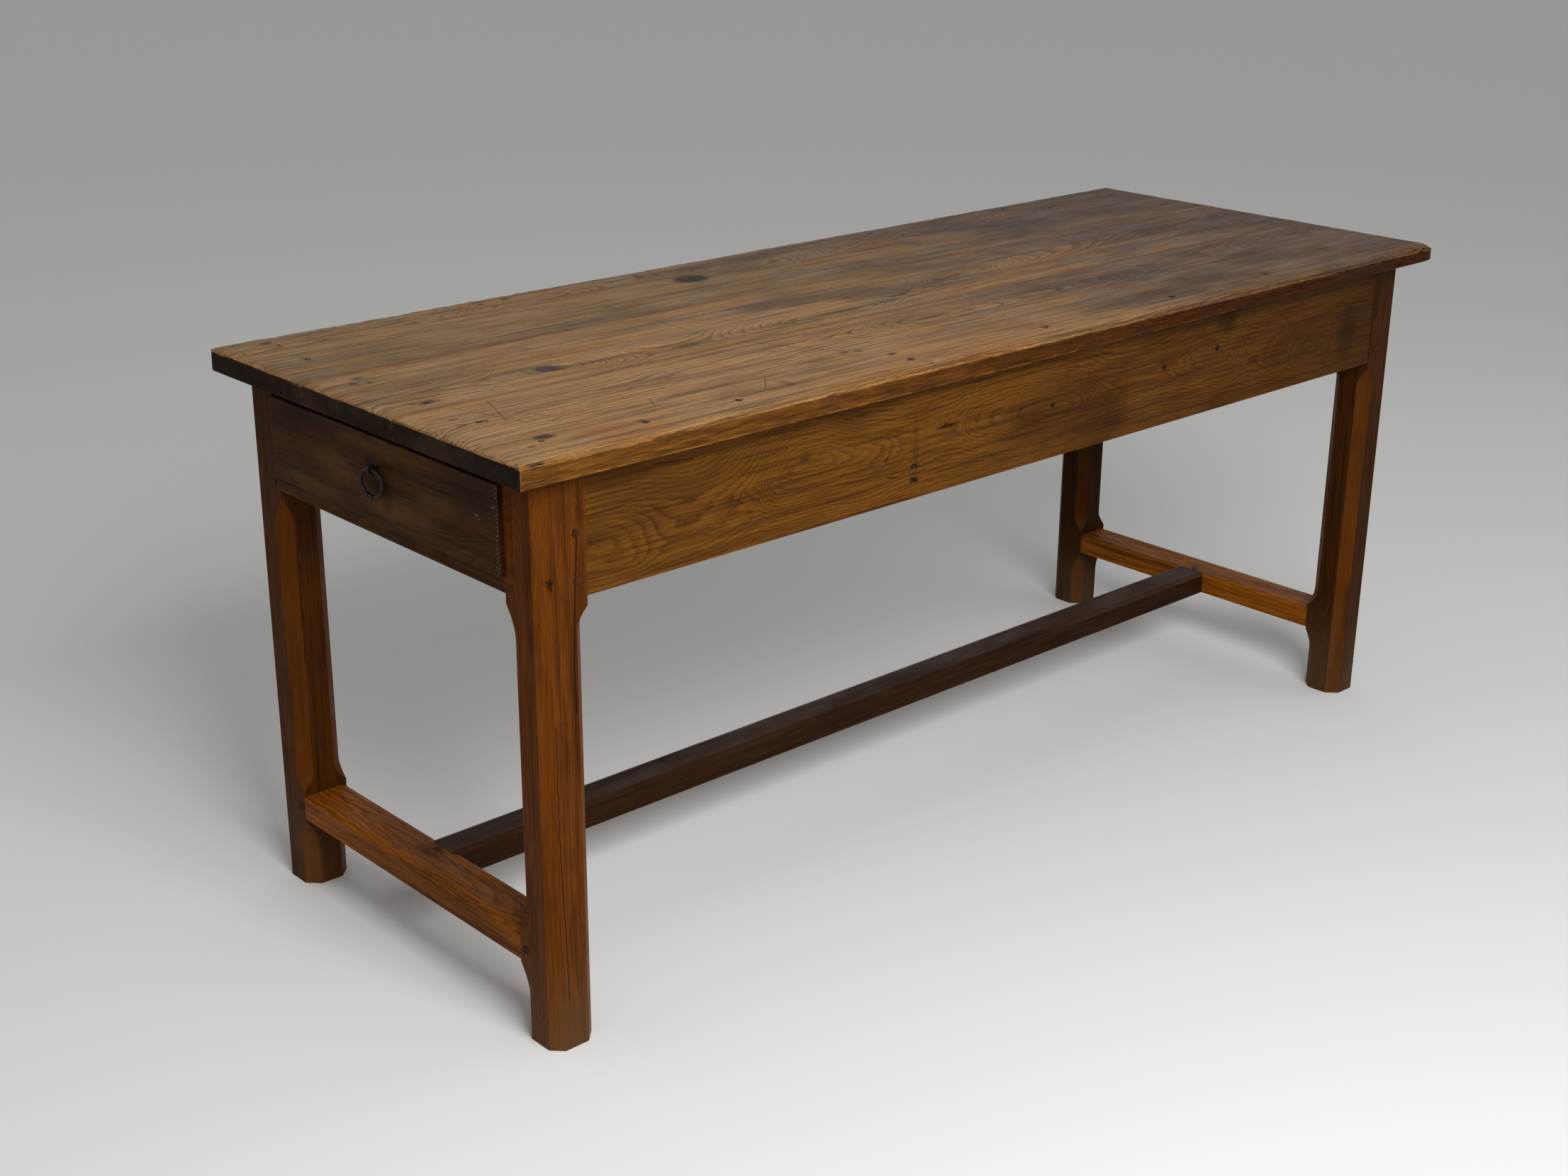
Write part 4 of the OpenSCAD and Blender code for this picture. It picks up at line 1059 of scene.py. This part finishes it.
class TABLE_OT_pegs(bpy.types.Operator):
    """Pegs, with dark end grain"""

    bl_idname = "table.pegs"
    bl_label = "Pegs"

    def execute(self, context):
        look = context.scene.table_legs
        for node in ("apron_pegs", "rail_pegs", "stretcher_pegs"):
            dress([node], ("+Z", "+X", "+Y"), (look.line, look.peg, tinted(look.peg, 1.25)),
                  corner=(0, 0, 0), seed=30.0, spacing=2.2, crown=[(0, 0), (800, 40)],
                  depth=[(0, 40), (800, 60)], worn_r=0.0012)
        return {"FINISHED"}


class TABLE_OT_iron(bpy.types.Operator):
    """Ring, eye and nails of old forged iron"""

    bl_idname = "table.iron"
    bl_label = "Ironwork"

    def execute(self, context):
        look = context.scene.table_iron
        material = empty_material("old_iron")
        bench = Bench(material.node_tree)
        here = bench.scaled(bench.add("ShaderNodeTexCoord").outputs["Object"], MM)
        cloud = bench.noise(here, (0.35, 0.35, 0.35), 4.0, 0.6)
        grain = bench.noise(here, (1.6, 1.6, 1.6), 3.0, 0.6)
        colour = bench.blend(bench.step(cloud, 0.45, 0.7), linear(look.iron), linear(look.rust))
        dull = bench.step(cloud, 0.35, 0.75, look.rough, look.rough + 0.22)
        height = bench.total(bench.times(cloud, 0.25), bench.times(grain, 0.08))
        bench.cover(Base_Color=colour, Roughness=dull, Specular_IOR_Level=IRON_GLOSS,
                    Normal=bench.relief(height).outputs[0])
        for node in ("ring_eye", "ring_pull", "top_nails", "cross_rail_nails", "carriage_nails",
                     "drawer_bottom_nails"):
            finish(NODES[node], material)
        return {"FINISHED"}


def lamp(name, power, place, aim, size):
    """Large soft lamp at a place, turned towards an aim."""
    bpy.ops.object.select_all(action="DESELECT")
    bpy.ops.object.light_add(type="AREA", location=place)
    light = bpy.context.object
    light.name = name
    light.data.shape = "RECTANGLE"
    light.data.size, light.data.size_y = size
    light.data.energy = power
    light.visible_camera = False
    light.rotation_euler = (Vector(aim) - Vector(place)).to_track_quat("-Z", "Y").to_euler()


FLOOR_SIZE = 60
FLOOR_ROUGH = 0.85
SKY_SEEN = 0.8
CAMERA_PLACE = (-2.1555, -2.1210, 1.4431)
SENSOR_W = 36
# How far the camera is turned from the Y axis, tipped down and rolled, in degrees.
YAW, PITCH, ROLL = 42.669, 20.718, -0.406


def camera_axes():
    """Right, up and back of the camera, as the columns of its turn."""
    yaw, pitch, roll = (math.radians(angle) for angle in (YAW, PITCH, ROLL))
    ahead = Vector((math.sin(yaw) * math.cos(pitch), math.cos(yaw) * math.cos(pitch),
                    -math.sin(pitch)))
    right = Vector((math.cos(yaw), -math.sin(yaw), 0))
    down = ahead.cross(right)
    turned_right = right * math.cos(roll) + down * math.sin(roll)
    turned_down = down * math.cos(roll) - right * math.sin(roll)
    return Matrix((turned_right, -turned_down, -ahead)).transposed()


class TABLE_OT_stage(bpy.types.Operator):
    """Pale floor, soft lamps and the camera"""

    bl_idname = "table.stage"
    bl_label = "Stage"

    def execute(self, context):
        look = context.scene.table_stage
        scene = context.scene
        bpy.ops.object.select_all(action="DESELECT")
        bpy.ops.mesh.primitive_plane_add(size=FLOOR_SIZE, location=(0, 0, 0))
        floor = bpy.context.object
        floor.name = "studio_floor"
        material = empty_material("studio_floor")
        Bench(material.node_tree).cover(Base_Color=linear(look.floor), Roughness=FLOOR_ROUGH)
        finish(floor, material)

        world = bpy.data.worlds.new("studio")
        world.use_nodes = True
        world.node_tree.nodes.clear()
        bench = Bench(world.node_tree)
        path = bench.add("ShaderNodeLightPath").outputs
        seen = bench.fold("MAXIMUM", [path[f"Is {ray} Ray"]
                                      for ray in ("Camera", "Glossy", "Transmission")])
        sky = bench.add("ShaderNodeBackground", {
            "Color": (1, 1, 1, 1), "Strength": bench.slope(seen, 0, 1, look.sky, SKY_SEEN)})
        bench.add("ShaderNodeOutputWorld", {"Surface": sky.outputs[0]})
        scene.world = world

        lamp("key_lamp", look.key, place=(-1.1, -2.5, 2.3), aim=(-0.4, 0, 0.6), size=(1.7, 1.3))
        lamp("fill_lamp", look.fill, place=(2.8, -1.6, 2.8), aim=(0, 0, 0.4), size=(2.4, 1.8))

        camera = bpy.data.objects.new("camera", bpy.data.cameras.new("camera"))
        scene.collection.objects.link(camera)
        camera.data.sensor_width = SENSOR_W
        camera.data.lens = look.lens
        camera.matrix_world = Matrix.Translation(CAMERA_PLACE) @ camera_axes().to_4x4()
        scene.camera = camera
        scene.view_settings.view_transform = "Standard"
        return {"FINISHED"}


class TABLE_PT_panel(bpy.types.Panel):
    """Lists the table's finishes and the operators that make them"""

    bl_idname = "TABLE_PT_panel"
    bl_label = "Farmhouse Table"
    bl_space_type = "VIEW_3D"
    bl_region_type = "UI"
    bl_category = "Table"

    def draw(self, context):
        for name, _, operator in STEPS:
            box = self.layout.box()
            group = getattr(context.scene, name)
            for prop in group.bl_rna.properties:
                if prop.identifier not in ("rna_type", "name"):
                    box.prop(group, prop.identifier)
            box.operator(operator.bl_idname)


STEPS = [
    ("table_stage", StageSetup, TABLE_OT_stage),
    ("table_top", TopFinish, TABLE_OT_top),
    ("table_aprons", ApronFinish, TABLE_OT_aprons),
    ("table_legs", LegFinish, TABLE_OT_legs),
    ("table_stretchers", StretcherFinish, TABLE_OT_stretchers),
    ("table_drawer", DrawerFinish, TABLE_OT_drawer),
    ("table_legs", LegFinish, TABLE_OT_pegs),
    ("table_iron", IronFinish, TABLE_OT_iron),
]
GROUPS = {name: group for name, group, _ in STEPS}
CLASSES = [*GROUPS.values(), *(operator for *_, operator in STEPS), TABLE_PT_panel]


def register():
    for cls in CLASSES:
        bpy.utils.register_class(cls)
    for name, group in GROUPS.items():
        setattr(bpy.types.Scene, name, bpy.props.PointerProperty(type=group))


def unregister():
    for name in GROUPS:
        delattr(bpy.types.Scene, name)
    for cls in reversed(CLASSES):
        bpy.utils.unregister_class(cls)


def main():
    """Makes the whole scene."""
    register()
    for *_, operator in STEPS:
        category, name = operator.bl_idname.split(".")
        getattr(getattr(bpy.ops, category), name)()


if __name__ == "__main__":
    main()
